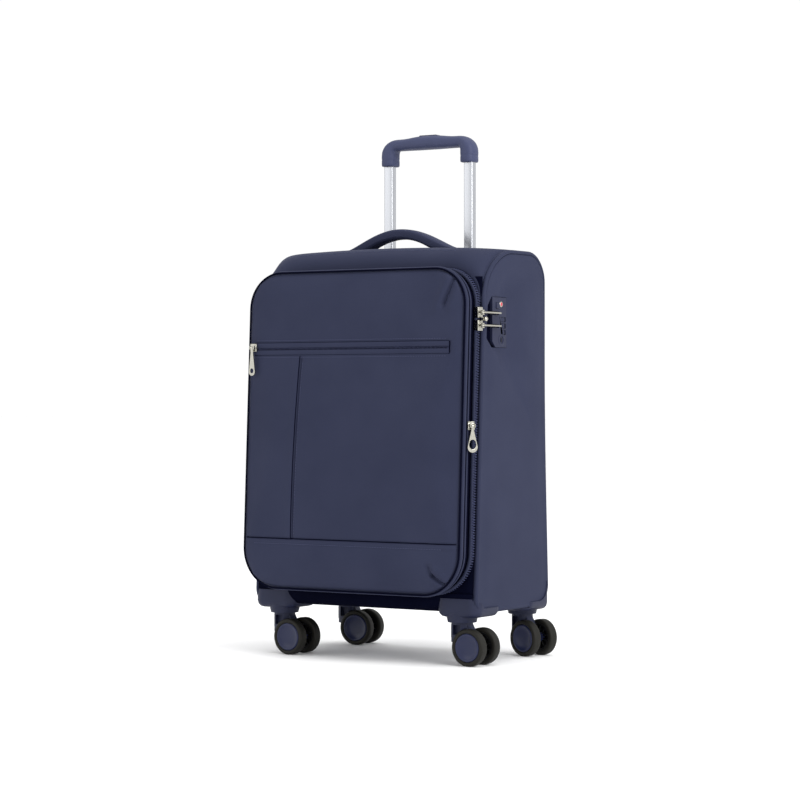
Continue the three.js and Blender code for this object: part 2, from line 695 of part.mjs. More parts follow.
const dialX = LOCK_FACE + 0.6 - DIAL.radius;
DIAL.heights.forEach((z, index) => {
  const dial = rod('z', DIAL.radius, z - DIAL.thickness / 2, z + DIAL.thickness / 2, 20);
  add(`lock_dial_${index + 1}`, dial.translate(dialX, DIAL.y, 0), 'plastic');
});
const keySlot = boxBetween([LOCK_FACE - 2, KEY.y - 0.7, KEY.z - 3], [LOCK_FACE + 2, KEY.y + 0.7, KEY.z + 3]);
add('key_cylinder', cut(
  rod('x', KEY.radius, LOCK_BACK, LOCK_FACE - 0.4).translate(0, KEY.y, KEY.z), keySlot,
), 'steel');
add('lock_button', boxBetween(
  [LOCK_BACK + 1, RELEASE.y - RELEASE.halfWidth, RELEASE.z - RELEASE.halfHeight],
  [LOCK_FACE + 1, RELEASE.y + RELEASE.halfWidth, RELEASE.z + RELEASE.halfHeight],
), 'plastic');

// ---- zipper sliders and pullers -----------------------------------------

// A slider lies with its back on the zipper (z = 0) and runs along its own y.
// Two lugs stand on it and hold the puller's knuckle between them, on a pin axis along x.
const PIN_HEIGHT = 7.2;
function slider(width, length) {
  const base = boxBetween([-width / 2, -length / 2, 0], [width / 2, length / 2, 4.6]);
  const lugs = [-1, 1].map((side) => boxBetween(
    [side * 2.6 - 0.8 + side * 0.4, -2.4, 4], [side * 2.6 + 0.8 + side * 0.4, 2.4, PIN_HEIGHT + 1.8],
  ));
  return join(base, ...lugs);
}

// A drop-shaped plate hanging from its knuckle, with an oval finger hole.
function puller(length, width, hole) {
  const plate = new THREE.Shape();
  const round = width / 2;
  plate.moveTo(-1.7, 0);
  plate.lineTo(-1.7, -5);
  plate.lineTo(-round, round - length);
  plate.absarc(0, round - length, round, Math.PI, 2 * Math.PI);
  plate.lineTo(1.7, -5);
  plate.lineTo(1.7, 0);
  const opening = new THREE.Path();
  opening.absellipse(0, round - length + hole * 0.5, round - 2.2, hole, 0, 2 * Math.PI, true);
  plate.holes.push(opening);
  const blade = flat(plate, PIN_HEIGHT - 1, PIN_HEIGHT + 1, 5);
  const knuckle = rod('x', 1.8, -1.7, 1.7, 12).translate(0, 0, PIN_HEIGHT);
  return join(blade, knuckle);
}

// Stands a slider up on a surface that looks along the given heading in the XY plane.
function mounted(x, y, z, heading) {
  const group = new THREE.Group();
  group.position.set(x, y, z);
  const normal = new THREE.Vector3(Math.cos(radians(heading)), Math.sin(radians(heading)), 0);
  const up = new THREE.Vector3(0, 0, 1);
  const across = new THREE.Vector3().crossVectors(up, normal);
  group.quaternion.setFromRotationMatrix(new THREE.Matrix4().makeBasis(across, up, normal));
  suitcase.add(group);
  return group;
}

const expansion = mounted(
  LID_HALF_WIDTH + 2.6, EXPANSION_ZIP_Y - lean(EXPANSION_SLIDER_Z), EXPANSION_SLIDER_Z, -30,
);
add('expansion_slider', slider(10, 11), 'nickel', expansion);
add('expansion_puller', puller(35, 15, 6.5), 'nickel', expansion);

const pocketSliderZ = POCKET_ZIP_Z + 2;
const pocket = mounted(POCKET_SLIDER_X, LID_FRONT - lean(pocketSliderZ) - 2 * GAP, pocketSliderZ, -90);
add('pocket_slider', slider(10, 11), 'nickel', pocket);
add('pocket_puller', puller(38, 10, 3.4), 'nickel', pocket);

// The two main sliders meet beside the lock, and their pullers lie in its slots.
// Each puller turns about an upright pin, out of the lock.
const PULLER_PIN_X = 181.4;
function lockPuller() {
  const plate = polygon([
    [-2.4, 2], [-2.4, 7], [-3.5, 9], [-3.5, 24], [-5.2, 30], [-5.2, 42.5], [3.6, 42.5],
    [4.4, 36], [4.4, 7], [2.4, 2],
  ]);
  const knuckle = rod('z', 2.6, -1, 1, 12);
  return join(flat(plate, -1, 1), knuckle, boxBetween([-2, 0, -1], [2, 4, 1]));
}

function lockSlider() {
  const base = boxBetween([LID_HALF_WIDTH + GAP, -6, -7], [178.3, 6, 7]);
  const lugs = [-1, 1].map((side) => boxBetween(
    [178, -2.2, side * 2.4 - 1], [PULLER_PIN_X + 2, 2.2, side * 2.4 + 1],
  ));
  return join(base, ...lugs);
}

for (const [place, z] of Object.entries(PULLER_HEIGHTS)) {
  const group = new THREE.Group();
  group.position.set(0, MAIN_ZIP_Y, z);
  suitcase.add(group);
  add(`main_slider_${place}`, lockSlider(), 'nickel', group);
  const arm = new THREE.Group();
  arm.position.set(PULLER_PIN_X, 0, 0);
  group.add(arm);
  add(`main_puller_${place}`, lockPuller(), 'nickel', arm);
}

export default suitcase;
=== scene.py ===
"""Softside upright suitcase: padded fabric body and lid, zips, lock, handles, trolley and spinner wheels.

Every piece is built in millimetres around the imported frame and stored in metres.
+Z is up, -Y is out of the lid, +Y out of the back and +X towards the lock.
"""
import json
import math

import bmesh
import bpy
from mathutils import Matrix, Vector
from mathutils.bvhtree import BVHTree


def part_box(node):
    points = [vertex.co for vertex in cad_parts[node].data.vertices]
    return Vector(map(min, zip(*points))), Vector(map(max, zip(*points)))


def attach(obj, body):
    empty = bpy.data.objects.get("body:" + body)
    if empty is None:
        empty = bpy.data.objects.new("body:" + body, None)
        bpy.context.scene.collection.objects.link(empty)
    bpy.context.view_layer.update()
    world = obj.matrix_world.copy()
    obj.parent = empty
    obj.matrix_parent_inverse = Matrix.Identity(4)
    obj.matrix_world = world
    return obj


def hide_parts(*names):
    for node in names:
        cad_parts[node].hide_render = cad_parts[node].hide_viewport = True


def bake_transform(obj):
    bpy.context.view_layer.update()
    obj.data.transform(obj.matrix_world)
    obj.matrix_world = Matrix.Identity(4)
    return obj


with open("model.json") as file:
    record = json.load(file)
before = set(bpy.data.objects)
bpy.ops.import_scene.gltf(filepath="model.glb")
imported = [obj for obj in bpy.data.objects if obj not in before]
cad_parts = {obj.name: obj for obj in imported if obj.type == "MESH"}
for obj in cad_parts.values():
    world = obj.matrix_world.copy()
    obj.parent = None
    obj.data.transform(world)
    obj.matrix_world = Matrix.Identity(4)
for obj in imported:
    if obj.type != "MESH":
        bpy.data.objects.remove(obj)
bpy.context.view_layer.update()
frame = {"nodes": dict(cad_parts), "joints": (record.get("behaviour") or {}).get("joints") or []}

MM = 0.001
ACROSS = Vector((1, 0, 0))
FORWARD = Vector((0, -1, 0))
UP = Vector((0, 0, 1))


def node_box(node):
    """A CAD node's lowest and highest corners, in millimetres."""
    low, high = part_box(node)
    return low / MM, high / MM


def joint(name):
    """A joint's place in millimetres."""
    return Vector(next(j for j in frame["joints"] if j["name"] == name)["pos_m"]) / MM


# ---- driving dimensions, in millimetres ----------------------------------

side_low, side_high = node_box("side_panel_right")
lid_low, lid_high = node_box("lid_panel")
BEZEL_FRONT = node_box("trolley_bezel")[0].y

FRONT_LEAN = 0.0468  # the front's slope: it comes forward towards the bottom
LEAN_FROM = 470
FRONT_BOTTOM_RADIUS = 20


def lean(z):
    """How far forward of its place at the top the front stands at a height."""
    return FRONT_LEAN * (LEAN_FROM - z)


def leaned(point):
    """A point of the upright front, moved forward with the lean."""
    return Vector((point[0], point[1] - lean(point[2]), point[2]))


BODY_HALF = side_high.x
BODY_BOTTOM = side_low.z
BODY_TOP = side_high.z
BODY_FRONT = side_low.y + lean(BODY_BOTTOM + FRONT_BOTTOM_RADIUS)
BACK_SWELL = 9.4
BODY_BACK = side_high.y - BACK_SWELL
BACK_TOP_RADIUS = 43
BACK_BOTTOM_RADIUS = 28
TOP_CROWN = 2.5

LID_HALF = lid_high.x
LID_BOTTOM = lid_low.z
LID_TOP = lid_high.z
LID_TOP_RADIUS = 48
LID_BOTTOM_RADIUS = 55
LID_FRONT = lid_low.y + lean(lid_low.z)
LID_SEAM = LID_FRONT + 4.6
LID_SEAM_INSET = 1.8
LID_SIDE = 2.2  # the padded lid sits this far towards the lock

POCKET_ZIP = (409, 424)
POCKET_ENDS = (-156, 153)
HEM_SEAM = 161
PLEAT_TOP = (-82, 404)
PLEAT_SLOPE = 8 / 240
PLEAT_MIDDLE = 284

# Pinched folds in the lid's corners: rise, start, end and width of each.
CORNER_FOLDS = [
    (-4.4, (154, 506), (141, 472), 2.4), (2.6, (145, 506), (131, 468), 5.0),
    (2.0, (161, 498), (151, 466), 4.0), (-5.0, (154, 107), (132, 120), 2.4),
    (-3.4, (132, 120), (127, 131), 2.6), (2.4, (152, 117), (134, 130), 4.4),
    (1.2, (142, 108), (130, 116), 4.0),
]
# The lines that the lid's mesh is cut finer along, for those folds.
FOLD_CUTS = [((154, 506), (141, 472)), ((154, 107), (130, 122))]

BAND_MIDDLE = BODY_FRONT - 13.5
GUSSET_MIDDLE = LID_FRONT + 20.5
HINGE_BOTTOM, HINGE_LENGTH = 150, 320
LINING_MARGIN = 6
STRAP_MARGIN = 8
STRAP_WIDTH = 25
STRAPS = (("upper", 380), ("lower", 230))


# ---- mesh helpers ---------------------------------------------------------

def grid(columns, rows, place):
    """A sheet of columns by rows faces. place(column, row) gives each corner in millimetres."""
    bm = bmesh.new()
    bmesh.ops.create_grid(bm, x_segments=columns, y_segments=rows, size=0.5)
    for corner in bm.verts:
        column = round((corner.co.x + 0.5) * columns)
        row = round((corner.co.y + 0.5) * rows)
        corner.co = Vector(place(column, row)) * MM
    return bm


def sweep(path, section):
    """A skin along a path of (middle, side, up) stations. section is its outline as (side, up) steps.
    A path or section that ends where it starts is joined there; an open path's ends are closed."""
    bm = grid(
        len(path) - 1, len(section) - 1,
        lambda i, j: path[i][0] + path[i][1] * section[j][0] + path[i][2] * section[j][1],
    )
    bmesh.ops.remove_doubles(bm, verts=bm.verts, dist=0.01 * MM)
    if section[0] == section[-1]:
        bmesh.ops.holes_fill(bm, edges=[e for e in bm.edges if e.is_boundary], sides=0)
    bmesh.ops.recalc_face_normals(bm, faces=bm.faces)
    return bm


def ring(width, height, sides=12, power=1.0):
    """An oval section. A power under 1 squares it up."""
    points = []
    for i in range(sides):
        angle = 2 * math.pi * i / sides
        c, s = math.cos(angle), math.sin(angle)
        points.append((
            width / 2 * math.copysign(abs(c) ** power, c),
            height / 2 * math.copysign(abs(s) ** power, s),
        ))
    return points + points[:1]


def spun(profile, centre, axis, steps=64):
    """Turns a (radius, along) profile about an axis through centre."""
    turn = axis.to_track_quat("Z", "X").to_matrix()
    bm = bmesh.new()
    corners = [bm.verts.new(turn @ Vector((radius, 0, along))) for radius, along in profile]
    edges = [bm.edges.new(pair) for pair in zip(corners, corners[1:])]
    bmesh.ops.spin(
        bm, geom=corners + edges, cent=(0, 0, 0), axis=axis, angle=2 * math.pi,
        steps=steps, use_merge=True,
    )
    bmesh.ops.remove_doubles(bm, verts=bm.verts, dist=0.001)
    bmesh.ops.recalc_face_normals(bm, faces=bm.faces)
    bmesh.ops.scale(bm, vec=(MM, MM, MM), verts=bm.verts)
    bmesh.ops.translate(bm, vec=centre * MM, verts=bm.verts)
    return bm


def stitches(points, out, length=2.6, gap=1.4, width=0.5):
    """A row of machine stitches along points on a cloth whose surface looks out."""
    rows = []
    walked = 0.0
    start = points[0]
    for a, b in zip(points, points[1:]):
        walked += (b - a).length
        if walked < length:
            continue
        if (b - start).length > length * 0.6:
            along = (b - start).normalized()
            side = out.cross(along).normalized()
            end = start.lerp(b, length / (length + gap))
            middle = start.lerp(end, 0.5) + out * 0.25
            path = [(start - out * 0.1, side, out), (middle, side, out), (end - out * 0.1, side, out)]
            rows.append(sweep(path, ring(width, width, 6)))
        start = b
        walked = 0.0
    return merged(rows)


def block(low, high, bevel=0.5, segments=2):
    """A block between two corners with rounded edges."""
    bm = bmesh.new()
    bmesh.ops.create_cube(bm, size=1)
    low, high = Vector(low), Vector(high)
    bmesh.ops.scale(bm, vec=(high - low) * MM, verts=bm.verts)
    bmesh.ops.translate(bm, vec=(low + high) / 2 * MM, verts=bm.verts)
    bmesh.ops.bevel(
        bm, geom=bm.edges[:], offset=bevel * MM, segments=segments, profile=0.5,
        affect="EDGES", material=-1,
    )
    return bm


def merged(meshes):
    """One mesh holding several."""
    whole = bmesh.new()
    for bm in meshes:
        scrap = bpy.data.meshes.new("scrap")
        bm.to_mesh(scrap)
        whole.from_mesh(scrap)
        bpy.data.meshes.remove(scrap)
        bm.free()
    return whole


def cad_copy(node, flatness=1.0):
    """A CAD node's own shape with its loose triangles joined into whole faces."""
    bm = bmesh.new()
    bm.from_mesh(frame["nodes"][node].data)
    bmesh.ops.remove_doubles(bm, verts=bm.verts, dist=0.001 * MM)
    bmesh.ops.dissolve_limit(bm, angle_limit=math.radians(flatness), verts=bm.verts, edges=bm.edges)
    return bm


def sliced(bm, faces, place, normal):
    """Cuts some faces along a plane through a place in millimetres."""
    edges = {e for f in faces for e in f.edges}
    verts = {v for f in faces for v in f.verts}
    bmesh.ops.bisect_plane(bm, geom=[*verts, *edges, *faces], plane_co=place * MM, plane_no=normal)


def piece(name, bm, body, slot, *materials, replaces=(), wall=0, bevel=0, segments=3, smooth=0, crease=35):
    """Makes a finished piece that rides on a body. wall, bevel and smooth add live modifiers."""
    mesh = bpy.data.meshes.new(name)
    for edge in bm.edges:
        edge.smooth = len(edge.link_faces) != 2 or edge.calc_face_angle(0) < math.radians(crease)
    for face in bm.faces:
        face.smooth = True
    bm.to_mesh(mesh)
    bm.free()
    made = bpy.data.objects.new(name, mesh)
    bpy.context.scene.collection.objects.link(made)
    for material in materials:
        mesh.materials.append(material)
    if wall:
        solid = made.modifiers.new("wall", "SOLIDIFY")
        solid.thickness = wall * MM
        solid.offset = -1
        solid.use_even_offset = True
        solid.material_offset = len(materials) - 1
    if bevel:
        edges = made.modifiers.new("edges", "BEVEL")
        edges.width = bevel * MM
        edges.segments = segments
        edges.limit_method = "ANGLE"
        edges.angle_limit = math.radians(crease)
        edges.use_clamp_overlap = True
    if smooth:
        fine = made.modifiers.new("fine", "SUBSURF")
        fine.levels = fine.render_levels = smooth
    if body:
        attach(made, body)
    if replaces:
        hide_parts(*replaces)
    return made


def refined(node, made_by, body, slot, material, flatness=1.0, **edges):
    """A CAD node's own shape with worked edges and its real finish."""
    made = cad_copy(node, flatness)
    return piece(f"{node}_{made_by}", made, body, slot, material, replaces=[node], **edges)


def ease(value):
    """Rises smoothly from 0 to 1 as value does."""
    value = min(max(value, 0), 1)
    return value * value * (3 - 2 * value)


def bump(distance, width):
    """A soft ridge of height 1 at distance 0."""
    return math.exp(-(distance / width) ** 2)


# ---- materials ------------------------------------------------------------

def colour(hexa):
    """An sRGB hex colour as linear RGBA."""
    parts = [int(hexa[i:i + 2], 16) / 255 for i in (1, 3, 5)]
    return [p / 12.92 if p <= 0.04045 else ((p + 0.055) / 1.055) ** 2.4 for p in parts] + [1]


def add(tree, kind, inputs=(), **settings):
    """Adds a shader node with its settings, and gives its sockets values or the sockets that feed them."""
    made = tree.nodes.new(kind)
    for name, value in settings.items():
        setattr(made, name, value)
    for socket, value in dict(inputs).items():
        if isinstance(value, bpy.types.NodeSocket):
            tree.links.new(value, made.inputs[socket])
        else:
            made.inputs[socket].default_value = value
    return made


def finish(name, **constants):
    """An empty material with its shader, which takes the constants, and its object coordinates."""
    material = bpy.data.materials.new(name)
    material.use_nodes = True
    tree = material.node_tree
    tree.nodes.clear()
    shader = add(tree, "ShaderNodeBsdfPrincipled", {k.replace("_", " "): v for k, v in constants.items()})
    add(tree, "ShaderNodeOutputMaterial", {"Surface": shader.outputs[0]})
    place = add(tree, "ShaderNodeTexCoord").outputs["Object"]
    return material, tree, shader, place


def blended(tree, amount, low, high):
    """A colour between two hex colours."""
    mix = add(tree, "ShaderNodeMix", {"Factor": amount}, data_type="RGBA")
    mix.inputs[6].default_value = colour(low)
    mix.inputs[7].default_value = colour(high)
    return mix.outputs[2]


def threads(tree, place, direction, spacing):
    """Parallel threads a spacing apart in millimetres, as heights from 0 to 1."""
    scale = 2 * math.pi / 20 / (spacing * MM)
    return add(
        tree, "ShaderNodeTexWave", {"Vector": place, "Scale": scale, "Distortion": 0.6, "Detail": 1.0},
        bands_direction=direction,
    ).outputs["Fac"]


def woven(name, low, high, spacing, roughness, depth, sheen=0.1, level=0.12):
    """A plain-woven cloth: crossing threads, a slow change of shade and a little lint on the surface."""
    material, tree, shader, place = finish(
        name, Roughness=roughness, Sheen_Weight=sheen, Sheen_Roughness=0.45, Specular_IOR_Level=level,
    )
    shader.inputs["Sheen Tint"].default_value = colour("#7a80a8")
    warp = threads(tree, place, "X", spacing)
    weft = threads(tree, place, "Z", spacing)
    fill = threads(tree, place, "Y", spacing)
    crossing = add(tree, "ShaderNodeMath", {0: warp, 1: weft}, operation="MULTIPLY").outputs[0]
    weave = add(tree, "ShaderNodeMath", {0: crossing, 1: fill}, operation="ADD").outputs[0]
    lint = add(
        tree, "ShaderNodeTexNoise", {"Vector": place, "Scale": 1 / (1.1 * MM), "Detail": 3.0},
    ).outputs[0]
    cloud = add(tree, "ShaderNodeTexNoise", {"Vector": place, "Scale": 14.0, "Detail": 2.0}).outputs[0]
    shade = add(tree, "ShaderNodeMath", {0: lint, 1: 0.45, 2: 0.0}, operation="MULTIPLY_ADD")
    tree.links.new(cloud, shade.inputs[2])
    amount = add(tree, "ShaderNodeMath", {0: shade.outputs[0], 1: 0.22}, operation="SUBTRACT", use_clamp=True)
    tree.links.new(blended(tree, amount.outputs[0], low, high), shader.inputs["Base Color"])
    height = add(tree, "ShaderNodeMath", {0: lint, 1: 0.5, 2: 0.0}, operation="MULTIPLY_ADD")
    tree.links.new(weave, height.inputs[2])
    relief = add(
        tree, "ShaderNodeBump", {"Height": height.outputs[0], "Distance": depth * MM, "Strength": 0.6},
    )
    tree.links.new(relief.outputs[0], shader.inputs["Normal"])
    return material


def moulded(name, low, high, grain, roughness, depth, coat=0.0, level=0.2, **constants):
    """Moulded plastic or rubber: a fine spark-eroded grain and slightly uneven gloss."""
    material, tree, shader, place = finish(
        name, Coat_Weight=coat, Coat_Roughness=0.25, Specular_IOR_Level=level, **constants,
    )
    pits = add(
        tree, "ShaderNodeTexNoise", {"Vector": place, "Scale": 1 / (grain * MM), "Detail": 2.0},
    ).outputs[0]
    cloud = add(tree, "ShaderNodeTexNoise", {"Vector": place, "Scale": 40.0, "Detail": 2.0}).outputs[0]
    tree.links.new(blended(tree, cloud, low, high), shader.inputs["Base Color"])
    gloss = add(
        tree, "ShaderNodeMapRange", {"Value": cloud, "To Min": roughness - 0.05, "To Max": roughness + 0.05},
    )
    tree.links.new(gloss.outputs[0], shader.inputs["Roughness"])
    relief = add(tree, "ShaderNodeBump", {"Height": pits, "Distance": depth * MM, "Strength": 0.5})
    tree.links.new(relief.outputs[0], shader.inputs["Normal"])
    return material


def metal(name, low, high, roughness, stretch, **constants):
    """Metal whose fine lines are stretched along an axis, as drawing or tumbling leaves them."""
    material, tree, shader, place = finish(name, Metallic=1.0, **constants)
    lines = add(tree, "ShaderNodeMapping", {"Vector": place, "Scale": stretch}).outputs[0]
    grain = add(
        tree, "ShaderNodeTexNoise", {"Vector": lines, "Scale": 1 / (1.5 * MM), "Detail": 3.0},
    ).outputs[0]
    tree.links.new(blended(tree, grain, low, high), shader.inputs["Base Color"])
    gloss = add(
        tree, "ShaderNodeMapRange", {"Value": grain, "To Min": roughness - 0.06, "To Max": roughness + 0.06},
    )
    tree.links.new(gloss.outputs[0], shader.inputs["Roughness"])
    relief = add(tree, "ShaderNodeBump", {"Height": grain, "Distance": 0.02 * MM, "Strength": 0.3})
    tree.links.new(relief.outputs[0], shader.inputs["Normal"])
    return material


# Coated polyester twill, woven: matt navy with a faint sheen. Real threads are 0.3 mm apart;
# they are drawn at 0.9 mm so that they show.
twill = woven("coated_polyester_twill", "#22263b", "#2c3045", 0.9, 0.65, 0.05)
# Polyester webbing, woven: the same navy, coarser ribs and a dry surface.
webbing = woven("polyester_webbing", "#23273c", "#2f3349", 1.6, 0.7, 0.12)
# Zipper tape, knitted polyester: near-black navy. The same near-black cloth also serves as painted shade:
# cords and sheets in the lid's seams and groove, over the body's front rim and face around the lid, along the
# front's lower edge and in the lock's recess.
tape_and_painted_shade = woven("knit_zipper_cloth_and_painted_shade", "#030412", "#080a1c", 1.0, 0.9, 0.08, 0.0, 0.02)
# Nylon zipper coil, extruded: dark navy with small glossy highlights on each turn.
nylon = moulded("nylon_zipper_coil", "#2a2e47", "#3c4160", 0.4, 0.45, 0.02)
# Sewing thread, bonded nylon: a shade lighter than the cloth so that the stitches read.
thread = moulded("bonded_nylon_thread", "#3a3f5a", "#474c68", 0.3, 0.6, 0.02)
# Lining, brushed polyester taffeta: plain dark grey and soft.
lining = woven("polyester_taffeta_lining", "#3a3c46", "#484b57", 1.2, 0.7, 0.05, 0.15)
# ABS, injection moulded: navy with a fine spark-eroded grain.
abs_navy = moulded("abs_moulded_navy", "#1b1f34", "#242840", 0.5, 0.46, 0.03)
# Thermoplastic elastomer over nylon: soft-touch navy grip, a little lighter and very even.
soft_touch = moulded("soft_touch_elastomer", "#353a55", "#3e435f", 0.6, 0.5, 0.02)
# Polished ABS hub cap: smoother and glossier than the guards.
hub_gloss = moulded("abs_polished_navy", "#1c213e", "#242945", 0.8, 0.3, 0.01, 0.15)
# Black polypropylene of the wheel's ribbed inside.
ribs_black = moulded("polypropylene_black", "#0c0c0e", "#151517", 0.6, 0.5, 0.03)
# Polyurethane tyre, cast: warm near-black with a dry surface.
rubber = moulded("polyurethane_tyre", "#141310", "#1f1e1a", 0.5, 0.6, 0.04)
# Red enamel dot on the lock, plain.
enamel = moulded("red_enamel", "#b0263a", "#c23448", 0.8, 0.25, 0.005, 0.5)
# Anodised aluminium, drawn and brushed lengthwise: bright satin silver.
aluminium = metal("anodised_aluminium", "#a9abb1", "#c6c8cc", 0.3, (1, 1, 0.02))
# Zinc casting, tumbled and nickel plated: warm bright metal.
nickel = metal("nickel_plated_zinc", "#a19f95", "#c9c7bd", 0.2, (1, 1, 1))
# Zinc-plated steel for axles and rivets.
steel = metal("zinc_plated_steel", "#8f9299", "#b4b7bd", 0.3, (1, 1, 1))


# ---- camera, light and floor ----------------------------------------------

def studio():
    """A pale floor, a white surround, and three soft lights."""
    lens = bpy.data.cameras.new("camera")
    lens.lens = 113.2
    lens.sensor_width = 36
    lens.clip_end = 100
    camera = bpy.data.objects.new("camera", lens)
    camera.location = (1.8664, -2.8826, 0.3535)
    camera.rotation_euler = (math.radians(89.9), 0, math.radians(32.82))
    bpy.context.scene.collection.objects.link(camera)
    bpy.context.scene.camera = camera

    world = bpy.data.worlds.new("surround")
    world.use_nodes = True
    world.node_tree.nodes["Background"].inputs["Color"].default_value = (1, 1, 1, 1)
    world.node_tree.nodes["Background"].inputs["Strength"].default_value = 1.02
    bpy.context.scene.world = world
    bpy.context.scene.view_settings.view_transform = "Standard"

    lights = {
        "softbox_right": ((2.6, -0.6, 1.5), 1.8, 50),
        "softbox_top": ((0.2, -0.4, 2.8), 2.4, 25),
        "softbox_left": ((-2.0, -2.4, 1.3), 1.6, 8),
    }
    for name, (place, size, power) in lights.items():
        light = bpy.data.lights.new(name, "AREA")
        light.size = size
        light.energy = power
        lamp = bpy.data.objects.new(name, light)
        lamp.location = place
        lamp.rotation_euler = (Vector((0, 0, 0.3)) - Vector(place)).to_track_quat("-Z", "Y").to_euler()
        bpy.context.scene.collection.objects.link(lamp)

    bm = bmesh.new()
    bmesh.ops.create_grid(bm, x_segments=2, y_segments=2, size=30)
    mesh = bpy.data.meshes.new("floor")
    bm.to_mesh(mesh)
    bm.free()
    floor = bpy.data.objects.new("floor", mesh)
    bpy.context.scene.collection.objects.link(floor)
    material, tree, shader, place = finish("painted_floor", Roughness=0.9)
    haze = add(tree, "ShaderNodeTexNoise", {"Vector": place, "Scale": 3.0}).outputs[0]
    tree.links.new(blended(tree, haze, "#fdfdfd", "#ffffff"), shader.inputs["Base Color"])
    mesh.materials.append(material)


# ---- outlines of the body and the lid --------------------------------------

def lid_top_at(x):
    """Height of the lid's top edge at a distance from the middle."""
    across = max(min(abs(x), LID_HALF) - (LID_HALF - LID_TOP_RADIUS), 0)
    return LID_TOP - LID_TOP_RADIUS + math.sqrt(LID_TOP_RADIUS ** 2 - across ** 2)


def arc(y, z, radius, start, end, steps):
    """Points of an arc in the side view."""
    turns = [math.radians(start + (end - start) * i / steps) for i in range(steps + 1)]
    return [(y + radius * math.cos(t), z + radius * math.sin(t)) for t in turns]


def body_profile(x):
    """The body's side view at a distance from the middle, front top over the back to front bottom."""
    front_radius = BODY_TOP - lid_top_at(x)
    top_edge = BODY_FRONT - lean(BODY_TOP - front_radius)
    bottom_edge = BODY_FRONT - lean(BODY_BOTTOM + FRONT_BOTTOM_RADIUS)
    rise = [(BODY_BACK + BACK_SWELL * ease((400 - z) / 300 * 0.5) * 2, z) for z in range(470, 110, -30)]
    return [
        *arc(top_edge + front_radius, BODY_TOP - front_radius, front_radius, 180, 90, 14),
        *arc(BODY_BACK - BACK_TOP_RADIUS, BODY_TOP - BACK_TOP_RADIUS, BACK_TOP_RADIUS, 90, 0, 12),
        *rise,
        *arc(
            BODY_BACK + BACK_SWELL - BACK_BOTTOM_RADIUS, BODY_BOTTOM + BACK_BOTTOM_RADIUS,
            BACK_BOTTOM_RADIUS, 0, -90, 8,
        ),
        *arc(
            bottom_edge + FRONT_BOTTOM_RADIUS, BODY_BOTTOM + FRONT_BOTTOM_RADIUS,
            FRONT_BOTTOM_RADIUS, -90, -180, 8,
        ),
    ]


def outward_normals(points, closed=False):
    """For each (y, z) point, the unit normal that looks out of a loop drawn clockwise."""
    count = len(points)
    normals = []
    for i in range(count):
        before = points[(i - 1) % count] if closed or i else points[0]
        after = points[(i + 1) % count] if closed or i < count - 1 else points[-1]
        along = Vector((0, after[0] - before[0], after[1] - before[1])).normalized()
        normals.append(Vector((0, -along.z, along.y)))
    return normals


def lid_loop(inset, step=5.0):
    """The lid's outline, drawn in by some amount, as (point, normal) stations back to the start."""
    half = LID_HALF - inset
    bottom, top = LID_BOTTOM + inset, LID_TOP - inset
    low, high = LID_BOTTOM_RADIUS - inset, LID_TOP_RADIUS - inset
    corners = [
        (half - low, bottom + low, low, -90), (half - high, top - high, high, 0),
        (high - half, top - high, high, 90), (low - half, bottom + low, low, 180),
    ]
    stations = []
    for index, (x, z, radius, start) in enumerate(corners):
        turns = max(int(radius * math.pi / 2 / step), 6)
        for i in range(turns + 1):
            angle = math.radians(start + 90 * i / turns)
            normal = Vector((math.cos(angle), 0, math.sin(angle)))
            stations.append((Vector((x, 0, z)) + normal * radius, normal))
        x, z, radius, start = corners[(index + 1) % 4]
        angle = math.radians(start)
        end = Vector((x, 0, z)) + Vector((math.cos(angle), 0, math.sin(angle))) * radius
        corner, normal = stations[-1]
        count = int((end - corner).length / step)
        stations += [(corner.lerp(end, i / count), normal) for i in range(1, count)]
    return stations + stations[:1]


def rounded(x, z, half, bottom, top, top_radius, bottom_radius):
    """Moves a point of a rectangle so that the rectangle's corners become round."""
    radius, side, centre = (
        (top_radius, 1, top - top_radius) if z > (bottom + top) / 2
        else (bottom_radius, -1, bottom + bottom_radius)
    )
    dx = (abs(x) - (half - radius)) / radius
    dz = (z - centre) * side / radius
    if dx <= 0 or dz <= 0:
        return x, z
    return (
        math.copysign(half - radius + radius * dx * math.sqrt(1 - dz * dz / 2), x),
        centre + side * radius * dz * math.sqrt(1 - dx * dx / 2),
    )


# ---- body -------------------------------------------------------------------

def crown(x, z):
    """The padded top's rise over its flat CAD height."""
    return (TOP_CROWN - 2 * TOP_CROWN * (x / BODY_HALF) ** 2) * ease((z - 500) / 40)


def body_wrap():
    """The fabric strip over the top, down the back and under the bottom, with both edges rolled in."""
    edge = [(0, 3.2), (0.3, 1.6), (1.2, 0.5), (3, 0)]
    inner = BODY_HALF - 2.4
    flank = LID_HALF - LID_TOP_RADIUS
    right = [(inner - x, inset) for x, inset in edge]
    right += [(flank + LID_TOP_RADIUS * math.sin(math.radians(t)), 0) for t in range(78, 0, -9)]
    right += [(flank * i / 10, 0) for i in range(10, 0, -1)]
    stations = [(-x, inset) for x, inset in right] + [(0, 0)] + right[::-1]
    profiles = [body_profile(x) for x, _ in stations]
    normals = [outward_normals(p) for p in profiles]

    def place(column, row):
        x, inset = stations[column]
        y, z = profiles[column][row]
        return Vector((x, y, z + crown(x, z))) - normals[column][row] * inset

    bm = grid(len(stations) - 1, len(profiles[0]) - 1, place)
    bmesh.ops.recalc_face_normals(bm, faces=bm.faces)
    wrap = piece(
        "body_wrap_padded", bm, "body", "body_fabric", twill, lining, replaces=["body_wrap"], wall=2.5,
    )
    return wrap


